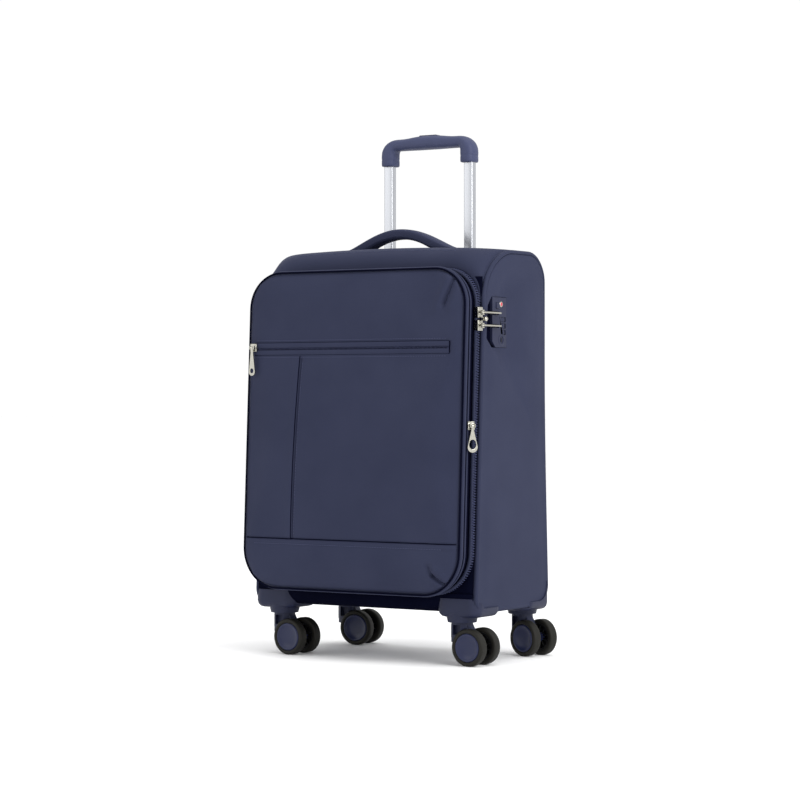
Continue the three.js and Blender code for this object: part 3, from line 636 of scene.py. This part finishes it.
def opened(bm, front, back, bottom, top):
    """Cuts a window for the lock through a side panel, with its front corners taken off."""
    cut = 12
    corners = [(front, bottom + cut), (front + cut, bottom), (back, bottom), (back, top),
               (front + cut, top), (front + 3, top - cut)]
    count = len(corners)
    centre = Vector((0, sum(y for y, _ in corners) / count, sum(z for _, z in corners) / count))
    reach = 160
    planes = []
    for (y0, z0), (y1, z1) in zip(corners, corners[1:] + corners[:1]):
        place = Vector((0, y0, z0))
        normal = Vector((0, z1 - z0, y0 - y1)).normalized()
        planes.append((place, normal if normal.dot(place - centre) > 0 else -normal))
    for place, normal in planes:
        near = [f for f in bm.faces if (f.calc_center_median() / MM - centre).yz.length < reach]
        sliced(bm, near, place, normal)
    window = [
        f for f in bm.faces
        if all((f.calc_center_median() / MM - place).dot(normal) < 0 for place, normal in planes)
    ]
    bmesh.ops.delete(bm, geom=window, context="FACES")


def side_panel(side):
    """A padded side panel with a rolled edge and, over its top, the line of its piping."""
    heights = range(int(BODY_BOTTOM) + 30, int(lid_top_at(BODY_HALF)) - 10, 12)
    outline = body_profile(BODY_HALF) + [(BODY_FRONT - lean(z), z) for z in heights]
    normals = outward_normals(outline, closed=True)
    spine_y = (BODY_FRONT + BODY_BACK) / 2
    rings = [(0.2, -4.5), (0, -1.6), (0.9, 0), (2.4, 0.9), (3.8, 1.0), (4.6, 0.5), (5.2, -0.9),
             (5.9, 0.4), (8.5, 0.9)]
    depths = [0.06, 0.12, 0.2, 0.3]

    def place(column, row):
        y, z = outline[column % len(outline)]
        normal = normals[column % len(outline)]
        if row < len(rings):
            inset, rise = rings[row]
            if 4 < inset < 8:
                rise += (0.9 - rise) * (1 - ease((z - 470) / 30))
            point = Vector((0, y, z)) - normal * inset
        else:
            share = depths[row - len(rings)]
            rim = Vector((0, y, z)) - normal * rings[-1][0]
            spine = Vector((0, spine_y, min(max(z, 150), 470)))
            point = rim.lerp(spine, share)
            rise = 0.9 + 0.9 * ease(share * 4)
        return Vector((side * (BODY_HALF + rise), point.y, point.z + crown(BODY_HALF, point.z)))

    bm = grid(len(outline), len(rings) + len(depths) - 1, place)
    bmesh.ops.remove_doubles(bm, verts=bm.verts, dist=0.05 * MM)
    flat = BODY_HALF + 1.79
    middle = [e for e in bm.edges if e.is_boundary and all(abs(v.co.x) / MM > flat for v in e.verts)]
    bmesh.ops.contextual_create(bm, geom=middle)
    bmesh.ops.recalc_face_normals(bm, faces=bm.faces)
    name = "right" if side > 0 else "left"
    if side > 0:
        lock_low, lock_high = node_box("lock_housing")
        opened(bm, lock_low.y - 0.4, lock_high.y + 0.6, lock_low.z - 0.4, lock_high.z - 5.6)
    panel = piece(
        f"side_panel_{name}_padded", bm, "body", "body_fabric", twill, lining,
        replaces=[f"side_panel_{name}"], wall=2,
    )
    return panel


def front_flange():
    """The edge of the body's front opening, which the zipper band is sewn to, in near-black cloth: painted
    shade where the lid shades the opening's rim.
    """
    loop = lid_loop(2)
    path = [(leaned(point + Vector((0, BODY_FRONT, 0))), normal, FORWARD) for point, normal in loop]
    section = [(-14, -2.5), (-12, -0.6), (-6, 0.3), (-1, 0.4), (0, -3)]
    bm = sweep(path, section)
    return piece("opening_flange_painted_shade", bm, "body", "body_fabric", tape_and_painted_shade, wall=1)


def front_face():
    """The body's front face around the lid, in near-black cloth: painted shade where the lid stands over it.
    """
    half = BODY_HALF - 3
    bottom = BODY_BOTTOM + FRONT_BOTTOM_RADIUS - 1
    far = 999

    def place(column, row):
        point, normal = loop[column]
        if row == 0:
            return leaned((point.x, BODY_FRONT + 0.6, point.z))
        reach = min(
            (half - abs(point.x)) / abs(normal.x) if abs(normal.x) > 1e-3 else far,
            (point.z - bottom) / -normal.z if normal.z < -1e-3 else far,
        )
        top = lid_top_at(point.x) if normal.z > 0.02 else far
        share = [0, 0.5, 1][row]
        x = point.x + normal.x * reach * share
        z = point.z + normal.z * reach * share if normal.z < 0.02 else min(point.z + 3 * share, top + 1)
        return leaned((x, BODY_FRONT + 0.6, z))

    loop = lid_loop(13)
    bm = grid(len(loop) - 1, 2, place)
    bmesh.ops.remove_doubles(bm, verts=bm.verts, dist=0.05 * MM)
    bmesh.ops.recalc_face_normals(bm, faces=bm.faces)
    return piece("body_front_face_painted_shade", bm, "body", "body_fabric", tape_and_painted_shade, lining, wall=1)


def bottom_painted_shade():
    """A near-black strip along the front's lower edge, between the casters' guards: painted shade under the
    lid.
    """
    bottom_edge = BODY_FRONT - lean(BODY_BOTTOM + FRONT_BOTTOM_RADIUS)
    curve = arc(
        bottom_edge + FRONT_BOTTOM_RADIUS, BODY_BOTTOM + FRONT_BOTTOM_RADIUS, FRONT_BOTTOM_RADIUS + 0.5,
        -112, -180, 10,
    )
    curve.append((curve[-1][0] + 0.2, curve[-1][1] + 6))
    bm = grid(2, len(curve) - 1, lambda i, j: (-172 + 172 * i, curve[j][0], curve[j][1]))
    bmesh.ops.recalc_face_normals(bm, faces=bm.faces)
    piece("front_bottom_painted_shade", bm, "body", "body_fabric", tape_and_painted_shade, wall=0.4)


def body_stitching():
    """The stitch row over the top front edge, where the front flap is sewn down."""
    row = []
    station = 9  # of the front top's 14 steps from front to top
    for x in range(-126, 127, 2):
        profile = body_profile(x)
        y, z = profile[station]
        normal = outward_normals(profile)[station]
        row.append(Vector((x, y, z + crown(x, z))) + normal * 0.1)
    out = Vector((0, -0.5, 0.86))
    piece("top_edge_stitching", stitches(row, out), "body", "body_fabric", thread)


def inside():
    """The lining that hides the trolley, and two packing straps over it."""
    half = BODY_HALF - LINING_MARGIN
    height = BODY_TOP - BODY_BOTTOM - 44
    back = BEZEL_FRONT - 1.6
    sheet = grid(60, 70, lambda i, j: (
        -half + 2 * half * i / 60, back - 0.5 * math.sin(i * 0.6) * math.sin(j * 0.35),
        BODY_BOTTOM + LINING_MARGIN + height * j / 70,
    ))
    bmesh.ops.recalc_face_normals(sheet, faces=sheet.faces)
    cover = piece("back_lining", sheet, "body", "body_fabric", lining, wall=0.6)
    half = BODY_HALF - STRAP_MARGIN
    y = back - 3
    for name, z in STRAPS:
        band = grid(60, 4, lambda i, j: (
            -half + 2 * half * i / 60, y - 1.5 * math.sin(math.pi * i / 60), z + STRAP_WIDTH * j / 4,
        ))
        bmesh.ops.recalc_face_normals(band, faces=band.faces)
        strap = piece(f"packing_strap_{name}", band, "body", "handle_fabric", webbing, wall=1)
        buckle = block((-16, y - 7, z - 3), (16, y - 1.6, z + STRAP_WIDTH + 3), 1.5)
        piece(f"strap_buckle_{name}", buckle, "body", "moulded_plastic", abs_navy)


# ---- lid ----------------------------------------------------------------------

def as_cloth(made, sewn, pressure, cap):
    """Blows a padded sheet up as cloth, holding its sewn corners, and keeps the shape it takes."""
    group = made.vertex_groups.new(name="sewn")
    for index, hold in sewn.items():
        group.add([index], hold, "REPLACE")
    cloth = made.modifiers.new("cloth", "CLOTH")
    cloth.settings.vertex_group_mass = "sewn"
    cloth.settings.use_pressure = True
    cloth.settings.uniform_pressure_force = pressure
    cloth.settings.tension_stiffness = 25
    cloth.settings.compression_stiffness = 25
    cloth.settings.bending_stiffness = 4
    cloth.settings.effector_weights.gravity = 0
    cloth.collision_settings.use_collision = False
    for step in range(1, 21):
        bpy.context.scene.frame_set(step)
    shape = made.evaluated_get(bpy.context.evaluated_depsgraph_get()).to_mesh()
    for vertex, blown in zip(made.data.vertices, shape.vertices):
        move = blown.co - vertex.co
        if move.length > cap * MM:
            move = move.normalized() * cap * MM
        vertex.co = vertex.co + move
    made.modifiers.remove(cloth)
    made.vertex_groups.clear()
    bpy.context.scene.frame_set(1)


def crease(x, z, start, end, width):
    """How strongly a point lies on a pinched fold that runs from start to end."""
    (ax, az), (bx, bz) = start, end
    along = Vector((bx - ax, bz - az))
    share = ((x - ax) * along.x + (z - az) * along.y) / along.length_squared
    nearest = Vector((ax, az)) + along * min(max(share, 0), 1)
    return bump((Vector((x, z)) - nearest).length, width)


def pleat_x(z):
    """Where the pocket's upright pleat runs at a height."""
    return PLEAT_TOP[0] - PLEAT_SLOPE * (PLEAT_TOP[1] - z)


def lid_relief(x, z):
    """Folds and seams of the lid's cloth: how far a point moves forward."""
    forward = 0
    if z < POCKET_ZIP[0]:
        forward -= 2.6 * bump(z - HEM_SEAM, 1.3)
        forward += 0.7 * bump(z - HEM_SEAM + 5, 3)
        forward -= 0.5 * bump(z - HEM_SEAM + 8, 1.2)
    if HEM_SEAM < z < POCKET_ZIP[0] - 3:
        forward -= 2.4 * bump(x - pleat_x(z), 1.4)
        forward += 1.0 * bump(x - pleat_x(z) + 6, 5)
    for rise, fold_start, fold_end, width in CORNER_FOLDS:
        forward += rise * crease(x, z, fold_start, fold_end, width)
    return forward


def lid_panel():
    """The lid's padded front: one sheet, sewn at its rim, pocket zip and hem, and blown up as cloth."""
    half, bottom, top = LID_HALF - LID_SEAM_INSET, LID_BOTTOM + LID_SEAM_INSET, LID_TOP - LID_SEAM_INSET
    columns, rows = 84, 106
    cell, swell, shoulder = 4.0, 5.2, 6
    pocket_depth = 2.4

    def place(column, row):
        x, z = rounded(
            half * (2 * column / columns - 1), bottom + (top - bottom) * row / rows,
            half, bottom, top, LID_TOP_RADIUS - LID_SEAM_INSET, LID_BOTTOM_RADIUS - LID_SEAM_INSET,
        )
        edge = min(column, columns - column, row, rows - row) * cell
        rise = swell * (1 - math.exp(-edge / shoulder))
        return Vector((x, LID_SEAM - rise, z))

    bm = grid(columns, rows, place)
    for face in bm.faces:
        if face.normal.y > 0:
            face.normal_flip()
    front = piece("lid_panel_padded", bm, None, "body_fabric", twill, lining, replaces=["lid_panel"])
    sewn = {}
    for vertex in front.data.vertices:
        z = vertex.co.z / MM
        rim = abs(vertex.co.y / MM - LID_SEAM) < 0.05
        held = 1.0 if rim else 0.9 * max(bump(z - sum(POCKET_ZIP) / 2, 8), bump(z - HEM_SEAM, 3))
        if held > 0.1:
            sewn[vertex.index] = held
    as_cloth(front, sewn, pressure=4, cap=5)

    bm = bmesh.new()
    bm.from_mesh(front.data)
    hem_cuts = [HEM_SEAM + step for step in (-9, -7, -5, -3, -1.4, -0.5, 0.5, 1.4, 3)]
    zip_cuts = [POCKET_ZIP[0] - 1, POCKET_ZIP[0] + 0.2, POCKET_ZIP[1] - 0.2, POCKET_ZIP[1] + 1]
    for height in hem_cuts + zip_cuts:
        sliced(bm, bm.faces[:], UP * height, UP)
    tilt = Vector((1, 0, -PLEAT_SLOPE)).normalized()
    middle = Vector((pleat_x(PLEAT_MIDDLE), 0, PLEAT_MIDDLE))
    for step in (-6, -3, -1.5, -0.6, 0.6, 1.5, 3):
        near = []
        for face in bm.faces:
            spot = face.calc_center_median() / MM
            if HEM_SEAM < spot.z < POCKET_ZIP[0] and abs(spot.x - middle.x) < 30:
                near.append(face)
        sliced(bm, near, middle + ACROSS * step, tilt)
    for (ax, az), (bx, bz) in FOLD_CUTS:
        centre = Vector(((ax + bx) / 2, 0, (az + bz) / 2))
        across = Vector((bz - az, 0, ax - bx)).normalized()
        for step in (-7, -5, -3.5, -2.2, -1, 0.2, 1.4, 2.6, 4, 6):
            near = [f for f in bm.faces if (f.calc_center_median() / MM - centre).xz.length < 34]
            sliced(bm, near, centre + across * step, across)
    for vertex in bm.verts:
        x, z = vertex.co.x / MM, vertex.co.z / MM
        forward = lid_relief(x, z)
        if POCKET_ENDS[0] < x < POCKET_ENDS[1] and POCKET_ZIP[0] < z < POCKET_ZIP[1]:
            forward -= pocket_depth
        if vertex.co.y < (LID_SEAM - 0.4) * MM:
            vertex.co.y -= forward * MM
    for vertex in bm.verts:
        vertex.co = leaned(vertex.co / MM + Vector((LID_SIDE, 0, 0))) * MM
    mesh = front.data
    bm.to_mesh(mesh)
    tree = BVHTree.FromBMesh(bm)
    bm.free()

    def on_lid(x, z):
        hit = tree.ray_cast(Vector((x * MM, -1, z * MM)), -FORWARD)[0]
        return hit / MM

    seams = [
        [on_lid(x, HEM_SEAM - 7) for x in range(-150, 151, 2)],
        [on_lid(pleat_x(z) + 5, z) for z in range(HEM_SEAM + 6, POCKET_ZIP[0] - 6, 2)],
        [on_lid(x, POCKET_ZIP[1] + 4) for x in range(-154, 152, 2)],
        [on_lid(x, POCKET_ZIP[0] - 4) for x in range(-154, 152, 2)],
    ]
    lines = [
        [on_lid(x, HEM_SEAM) for x in range(-165, 171, 3)],
        [on_lid(pleat_x(z), z) for z in range(HEM_SEAM, POCKET_ZIP[0], 3)],
        [on_lid(x, POCKET_ZIP[0] - 0.6) for x in range(-158, 156, 3)],
        [on_lid(x, POCKET_ZIP[1] + 0.6) for x in range(-158, 156, 3)],
    ]
    # Near-black cords along the hem, the pleat and both edges of the pocket zip: painted shade in those
    # seams.
    cords = []
    for index, line in enumerate(lines):
        side = ACROSS if index == 1 else UP
        cords.append(sweep([(p + FORWARD * 0.1, side, FORWARD) for p in line], ring(1.5, 0.9, 8)))
    piece("lid_seam_painted_shade_lines", merged(cords), "lid", "zipper_tape", tape_and_painted_shade)
    piece("lid_topstitching", merged([stitches(s, FORWARD) for s in seams]), "lid", "body_fabric", thread)
    for polygon in mesh.polygons:
        polygon.use_smooth = True
    wall = front.modifiers.new("wall", "SOLIDIFY")
    wall.thickness = 2 * MM
    wall.offset = -1
    wall.material_offset = 1
    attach(front, "lid")
    return front


def lid_path(y, inset=0.0, step=5.0):
    """Stations round the lid's rim at a depth."""
    shift = Vector((LID_SIDE, y, 0))
    return [(leaned(point + shift), normal, FORWARD) for point, normal in lid_loop(inset, step)]


def lid_rolls():
    """The lid's edge: near-black cords of painted shade in its seams, a fat piping roll, a groove lined in
    near-black as painted shade, and the flap over the expansion zip.
    """
    # Near-black cords, one in the seam at the lid's face and one behind the piping roll: painted shade in
    # those seams.
    for name, depth, inset, width in (("front", 3.4, 0.3, 2.4), ("back", 13.2, 0.7, 3.6)):
        cord = sweep(lid_path(LID_FRONT + depth, inset), ring(width, width, 10))
        piece(f"lid_painted_seam_shade_{name}", cord, "lid", "zipper_tape", tape_and_painted_shade)
    roll = piece(
        "lid_piping_roll", sweep(lid_path(LID_FRONT + 8.4, 1.5), ring(7.8, 6.2, 16)),
        "lid", "body_fabric", twill, replaces=["lid_gusset"],
    )
    # The groove's wall is near-black cloth: painted shade in the groove.
    wall = [(-1, 6), (-0.6, 3), (0, 0), (-0.6, -3), (-1, -8)]
    piece("lid_groove_painted_shade", sweep(lid_path(LID_FRONT + 14, 3), wall), "lid", "zipper_tape", tape_and_painted_shade, wall=0.8)
    flap = piece(
        "expansion_zip_flap", sweep(lid_path(LID_FRONT + 17.2, 1.2), ring(4.6, 3.6, 14)),
        "lid", "body_fabric", twill,
    )


def zipper_band():
    """Between lid and body: the expansion gusset, a flap and the main zip's tape."""
    section = [(-2, 9), (0.2, 8), (0.4, 5), (0.2, 3.6), (-1.4, 3), (-1.4, -9), (-2.4, -12)]
    piece(
        "zipper_band_tape", sweep(lid_path(BAND_MIDDLE, 2.6), section),
        "lid_frame", "zipper_tape", tape_and_painted_shade, replaces=["zipper_band"], wall=1,
    )
    flap = piece(
        "main_zip_flap", sweep(lid_path(BAND_MIDDLE + 1.6, 0.6), ring(4.2, 3.2, 12)),
        "lid_frame", "body_fabric", twill,
    )
    # The folded gusset between lid and band, which the expansion zip lets out.
    folds = sweep(lid_path(GUSSET_MIDDLE, 8), [(0, step) for step in range(7, -8, -2)])
    gusset = piece("expansion_gusset", folds, None, "zipper_tape", tape_and_painted_shade, wall=0.6)
    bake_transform(gusset)
    # The cloth hinge down the left side.
    strip = grid(8, 60, lambda i, j: leaned((
        -LID_HALF + 2.4 - (BODY_HALF - LID_HALF - 1) * (i / 8) ** 2,
        BODY_FRONT - 6 + 8 * i / 8, HINGE_BOTTOM + HINGE_LENGTH * j / 60,
    )))
    bmesh.ops.recalc_face_normals(strip, faces=strip.faces)
    hinge = piece("lid_cloth_hinge", strip, None, "body_fabric", twill, wall=0.8)
    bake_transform(hinge)


def coil(path, width, height, pitch, wire):
    """A zipper coil: one thread wound in flattened turns along a path."""
    lengths = [0.0]
    for (a, _, _), (b, _, _) in zip(path, path[1:]):
        lengths.append(lengths[-1] + (b - a).length)
    turns = round(lengths[-1] / pitch)
    corners = 8
    stations = []
    index = 0
    for i in range(turns * corners + 1):
        at = lengths[-1] * i / (turns * corners)
        while index < len(path) - 2 and lengths[index + 1] < at:
            index += 1
        share = (at - lengths[index]) / max(lengths[index + 1] - lengths[index], 1e-9)
        middle = path[index][0].lerp(path[index + 1][0], share)
        side = path[index][1].lerp(path[index + 1][1], share).normalized()
        along = (path[index + 1][0] - path[index][0]).normalized()
        angle = 2 * math.pi * i / corners
        out = side * math.cos(angle) * height / 2
        over = path[index][2] * math.sin(angle) * width / 2
        stations.append((middle + out + over, (out + over).normalized(), along))
    return sweep(stations, ring(wire, wire, 4))


def zips():
    """The nylon coils of the main zip and the pocket zip, with the pocket zip's welts and backing."""
    piece(
        "main_zip_coil", coil(lid_path(BODY_FRONT - 5.4, 0.6), 7.0, 3.0, 3.4, 1.4),
        "lid_frame", "zipper_tape", nylon,
    )
    z = sum(POCKET_ZIP) / 2
    y = LID_FRONT - 0.2 - lean(z)
    run = [(Vector((x, y, z)), FORWARD, UP) for x in range(int(POCKET_ENDS[0]), int(POCKET_ENDS[1]) + 1, 3)]
    piece("pocket_zip_coil", coil(run, 2.6, 1.4, 2.0, 0.7), "lid", "zipper_tape", nylon)
    for name, low, high in (("upper", z + 1.4, POCKET_ZIP[1] + 0.6), ("lower", POCKET_ZIP[0] - 0.6, z - 1.4)):
        middle, width = (low + high) / 2, high - low
        welt = sweep(
            [(Vector((point.x, y - 0.8, middle)), FORWARD, UP) for point, _, _ in run],
            ring(2.0, width, 10, 0.8),
        )
        piece(f"pocket_zip_welt_{name}", welt, "lid", "body_fabric", twill)
    backing = block(
        (POCKET_ENDS[0] - 1, y + 0.8, POCKET_ZIP[0]), (POCKET_ENDS[1] + 1, y + 1.6, POCKET_ZIP[1]), 0.3,
    )
    piece("pocket_zip_backing", backing, "lid", "zipper_tape", tape_and_painted_shade)


# ---- handles ----------------------------------------------------------------------

def carry_handle(name, node, centre, out, along, width, half_span, half_gap, rise, clear):
    """A padded strap handle: an arch with a flat top and a welt line along both top edges.
    It stands out of centre by rise, and its gap is clear deep and half_gap to each side."""
    across = along.cross(out)
    path = []
    steps = 32
    half = []
    for i in range(steps + 1):
        t = -1 + 2 * i / steps
        bow = max(math.cos(t * math.pi / 2), 0)
        top = Vector((t * half_span, 3 + (rise - 3) * bow ** 1.2))
        under = Vector((t * half_gap, clear * bow ** 0.7)) if abs(t) < 1 else Vector((t * half_span, 0))
        middle = (top + under) / 2
        half.append(max((top - under).length / 2, 1.4))
        path.append((middle, (top - under).normalized()))
    section = [
        (1.0, -0.55), (1.0, 0.3), (0.97, 0.66), (0.9, 0.84), (0.84, 0.78), (0.78, 0.92), (0.5, 1.0),
        (0, 1.03), (-0.5, 1.0), (-0.78, 0.92), (-0.84, 0.78), (-0.9, 0.84), (-0.97, 0.66), (-1.0, 0.3),
        (-1.0, -0.55), (-0.85, -0.9), (-0.5, -1.0), (0, -1.0), (0.5, -1.0), (0.85, -0.9), (1.0, -0.55),
    ]

    def place(column, row):
        middle, normal = path[column]
        a, b = section[row]
        spot = middle + normal * half[column] * b
        return centre + along * spot.x + out * spot.y + across * a * width / 2

    bm = grid(steps, len(section) - 1, place)
    bmesh.ops.remove_doubles(bm, verts=bm.verts, dist=0.01 * MM)
    bmesh.ops.holes_fill(bm, edges=[e for e in bm.edges if e.is_boundary], sides=0)
    bmesh.ops.recalc_face_normals(bm, faces=bm.faces)
    handle = piece(name, bm, "body", "handle_fabric", webbing, replaces=[node], smooth=1)
    return handle


def handles():
    """The top and side carry handles."""
    low, high = node_box("top_handle")
    carry_handle(
        "top_handle_padded", "top_handle", Vector((0, (low.y + high.y) / 2, low.z)), UP, ACROSS,
        width=high.y - low.y, half_span=86, half_gap=52, rise=high.z - low.z, clear=17,
    )
    low, high = node_box("side_handle")
    carry_handle(
        "side_handle_padded", "side_handle",
        Vector((high.x, (low.y + high.y) / 2, (low.z + high.z) / 2)), -ACROSS, UP,
        width=high.y - low.y, half_span=84, half_gap=52, rise=high.x - low.x, clear=7.6,
    )


# ---- trolley ------------------------------------------------------------------------

def grip():
    """The grip: one rounded bow from tube to tube, fuller in the palm, with a seam over each tube."""
    low, high = node_box("trolley_grip")
    y = (low.y + high.y) / 2
    leg, bend = 11.0, 14.0
    across = high.x - leg
    turn_z = high.z - 27.3
    half = []
    for up, thick in ((0, 9.8), (0.8, 11), (9, 11), (9.6, 10.2), (10.2, 11)):
        half.append((Vector((across, y, low.z + up)), thick, ACROSS))
    for i in range(9):
        turn = math.radians(90 * i / 8)
        out = Vector((math.cos(turn), 0, math.sin(turn)))
        half.append((Vector((across - bend, y, turn_z)) + out * bend, 11 - 2.8 * ease(i / 8), out))
    for i in range(1, 13):
        x = (across - bend) * (1 - i / 12)
        swell = ease((44 - x) / 36)
        half.append((Vector((x, y, turn_z + bend + 1.3 * swell)), 8.2 + 1.6 * swell, UP))
    mirror = [(Vector((-p.x, p.y, p.z)), t, Vector((-n.x, 0, n.z))) for p, t, n in half[:-1]]
    stations = half + mirror[::-1]
    depth = (high.y - low.y) / 2
    path = [(p, FORWARD * min(depth, t + 3.2), n * t) for p, t, n in stations]
    bow = sweep(path, ring(2, 2, 24, 0.75))
    piece("trolley_grip_moulded", bow, "trolley_inner", "grip_plastic", soft_touch, replaces=["trolley_grip"],
          smooth=1, crease=60)


def trolley():
    """The nested tubes, their bezel and foot, and the grip with its button."""
    stages = {"outer": "body", "middle": "trolley_middle", "inner": "trolley_inner"}
    for side in ("left", "right"):
        for stage, body in stages.items():
            refined(f"{stage}_tube_{side}", "drawn", body, "tube_aluminium", aluminium,
                    bevel=0.3, segments=2, crease=50)
    refined("trolley_bezel", "moulded", "body", "moulded_plastic", abs_navy, bevel=1.6)
    refined("trolley_foot", "moulded", "body", "moulded_plastic", abs_navy, bevel=1.5)
    grip()
    button = cad_copy("grip_button")
    sunk = 3.2  # the button lies this far into the palm's bow
    bmesh.ops.translate(button, vec=(0, 0, -sunk * MM), verts=button.verts)
    piece("grip_button_moulded", button, "grip_button", "grip_plastic", abs_navy, replaces=["grip_button"],
          bevel=1.2)


# ---- casters --------------------------------------------------------------------------

def wheel(place, end):
    """A round tyre, a dished hub cap and the ribbed inner face, from (radius, along the axle) profiles."""
    centre = joint(f"roll_{place}_{end}")
    other = joint(f"roll_{place}_{'inner' if end == 'outer' else 'outer'}")
    out = (centre - other).normalized()
    name = f"{place}_{end}"
    tyre = [(18.9, -6.2), (21.6, -6.5), (23.4, -6.1), (24.3, -5), (24.5, -3.4), (24.5, 3.4), (24.3, 5),
            (23.4, 6.1), (21.6, 6.5), (19.6, 6.3), (18.9, 5.4), (18.9, -6.2)]
    piece(f"tyre_{name}_cast", spun(tyre, centre, out), f"wheel_{name}", "tyre_rubber", rubber,
          replaces=[f"tyre_{name}"], crease=60)
    hub = [(0, 3.6), (9, 3.9), (13.6, 4.7), (15.9, 6.0), (16.9, 6.6), (17.9, 6.5), (18.6, 5.6), (18.7, 4.4),
           (18.7, -4.6), (17.6, -5.4), (16.6, -4.6), (16.2, 0.6), (6.4, 0.6), (6.0, -4.8), (5.2, -5.2),
           (3.4, -5.2), (3.4, 1.6), (0, 1.6)]
    piece(f"hub_{name}_moulded", spun(hub, centre, out), f"wheel_{name}", "hub_plastic", hub_gloss,
          replaces=[f"hub_{name}"], crease=50)
    turn = out.to_track_quat("Z", "X").to_matrix().to_4x4()
    ribs = []
    for i in range(10):
        rib = block((6.2, -0.6, -4.2), (16.6, 0.6, 0.8), 0.25, 1)
        around = Matrix.Rotation(2 * math.pi * i / 10, 3, "Z")
        bmesh.ops.rotate(rib, cent=(0, 0, 0), matrix=around, verts=rib.verts)
        bmesh.ops.transform(rib, matrix=turn, verts=rib.verts)
        bmesh.ops.translate(rib, vec=centre * MM, verts=rib.verts)
        ribs.append(rib)
    dish = [(6.2, 0.5), (16.3, 0.5), (16.5, -4.2), (16.9, -4.9), (18.4, -4.9), (18.4, -5.6),
            (16.2, -5.6), (15.8, -4.6), (15.7, 0.2), (6.6, 0.2), (6.2, 0.5)]
    face = spun(dish, centre, out, 48)
    piece(f"wheel_ribs_{name}", merged([*ribs, face]), f"wheel_{name}", "hub_plastic", ribs_black)


def casters():
    """Each corner's guard, fork and axle, with its two wheels."""
    for place in ("front_left", "front_right", "rear_left", "rear_right"):
        refined(f"corner_guard_{place}", "moulded", "body", "moulded_plastic", abs_navy, 2, bevel=2.0)
        refined(f"fork_{place}", "moulded", f"fork_{place}", "moulded_plastic", abs_navy, 2, bevel=1.0)
        refined(f"axle_{place}", "turned", f"fork_{place}", "axle_steel", steel, bevel=0.5, segments=2)
        for end in ("outer", "inner"):
            wheel(place, end)


# ---- lock and zipper pulls ----------------------------------------------------------------

def lock():
    """The lock's plate, dials, key cylinder and button, with its red dot and keyhole."""
    low, high = node_box("lock_housing")
    plate_front = low.y + 13
    plate = cad_copy("lock_housing")
    for turn, reach in ((22, 3.2), (45, 5.6), (68, 3.2)):
        away = Vector((0, -math.cos(math.radians(turn)), -math.sin(math.radians(turn))))
        corner = Vector((high.x, plate_front, low.z)) - away * reach
        bmesh.ops.bisect_plane(
            plate, geom=plate.verts[:] + plate.edges[:] + plate.faces[:], plane_co=corner * MM,
            plane_no=away, clear_outer=True,
        )
        bmesh.ops.holes_fill(plate, edges=[e for e in plate.edges if e.is_boundary], sides=0)
    piece("lock_housing_moulded", plate, "body", "lock_plastic", abs_navy, replaces=["lock_housing"],
          bevel=0.8)
    # A near-black sheet on the recess's floor behind the plate: painted shade in the lock's recess.
    shade = block(
        (high.x - 4.6, low.y + 0.6, low.z + 0.6), (high.x - 3.9, plate_front + 0.5, high.z - 7), 0.3,
    )
    piece("lock_recess_painted_shade", shade, "body", "zipper_tape", tape_and_painted_shade)
    for index in (1, 2, 3):
        refined(f"lock_dial_{index}", "moulded", f"lock_dial_{index}", "lock_plastic", abs_navy, bevel=0.5)
    refined("key_cylinder", "turned", "key_cylinder", "lock_plastic", abs_navy, bevel=0.3)
    refined("lock_button", "moulded", "lock_button", "lock_plastic", abs_navy, bevel=0.6)
    key_low, key_high = node_box("key_cylinder")
    dot_rise = 57
    dot = Vector((high.x, (key_low.y + key_high.y) / 2, low.z + dot_rise))
    face = [(0, 0.5), (2.1, 0.45), (2.5, 0.2), (2.5, -0.6), (0, -0.6)]
    piece("lock_dot", spun(face, dot, ACROSS, 32), "body", "lock_plastic", enamel)
    rim = [(2.5, 0.3), (3.4, 0.25), (3.7, 0.0), (3.7, -0.6), (2.5, -0.6), (2.5, 0.3)]
    piece("lock_dot_rim", spun(rim, dot, ACROSS, 32), "body", "zipper_nickel", nickel)
    key = Vector((high.x, dot.y, (key_low.z + key_high.z) / 2))
    collar = [(5.0, 0.1), (6.6, 0.5), (7.8, 0.1), (8.0, -0.4), (5.0, -0.4), (5.0, 0.1)]
    piece("keyhole_ring", spun(collar, key, ACROSS, 40), "body", "lock_plastic", abs_navy)
    slot = block(key + Vector((0.0, -0.9, -3)), key + Vector((0.25, 0.9, 3)), 0.1, 1)
    piece("keyhole", slot, "key_cylinder", "lock_plastic", ribs_black)


def pulls():
    """The sliders and pullers of all three zips, and the knob where the main zip's ends meet."""
    riders = {
        "expansion_slider": "expansion_slider", "expansion_puller": "expansion_puller",
        "pocket_slider": "pocket_slider", "pocket_puller": "pocket_puller",
        "main_slider_upper": "body", "main_slider_lower": "body",
        "main_puller_upper": "main_puller_upper", "main_puller_lower": "main_puller_lower",
    }
    for node, body in riders.items():
        refined(node, "cast", body, "zipper_nickel", nickel, bevel=0.7)
    upper, lower = node_box("main_slider_upper"), node_box("main_slider_lower")
    knob = Vector((upper[1].x - 1, upper[1].y - 1, (upper[0].z + lower[1].z) / 2))
    profile = [(0, 3.4), (2.0, 3.1), (3.2, 1.8), (3.4, 0), (2.6, -2.2), (0, -3)]
    piece("zip_stop_knob", spun(profile, knob, ACROSS, 32), "body", "zipper_nickel", nickel)


studio()
body_wrap()
side_panel(1)
side_panel(-1)
front_flange()
front_face()
bottom_painted_shade()
body_stitching()
inside()
lid_panel()
lid_rolls()
zipper_band()
zips()
handles()
trolley()
casters()
lock()
pulls()
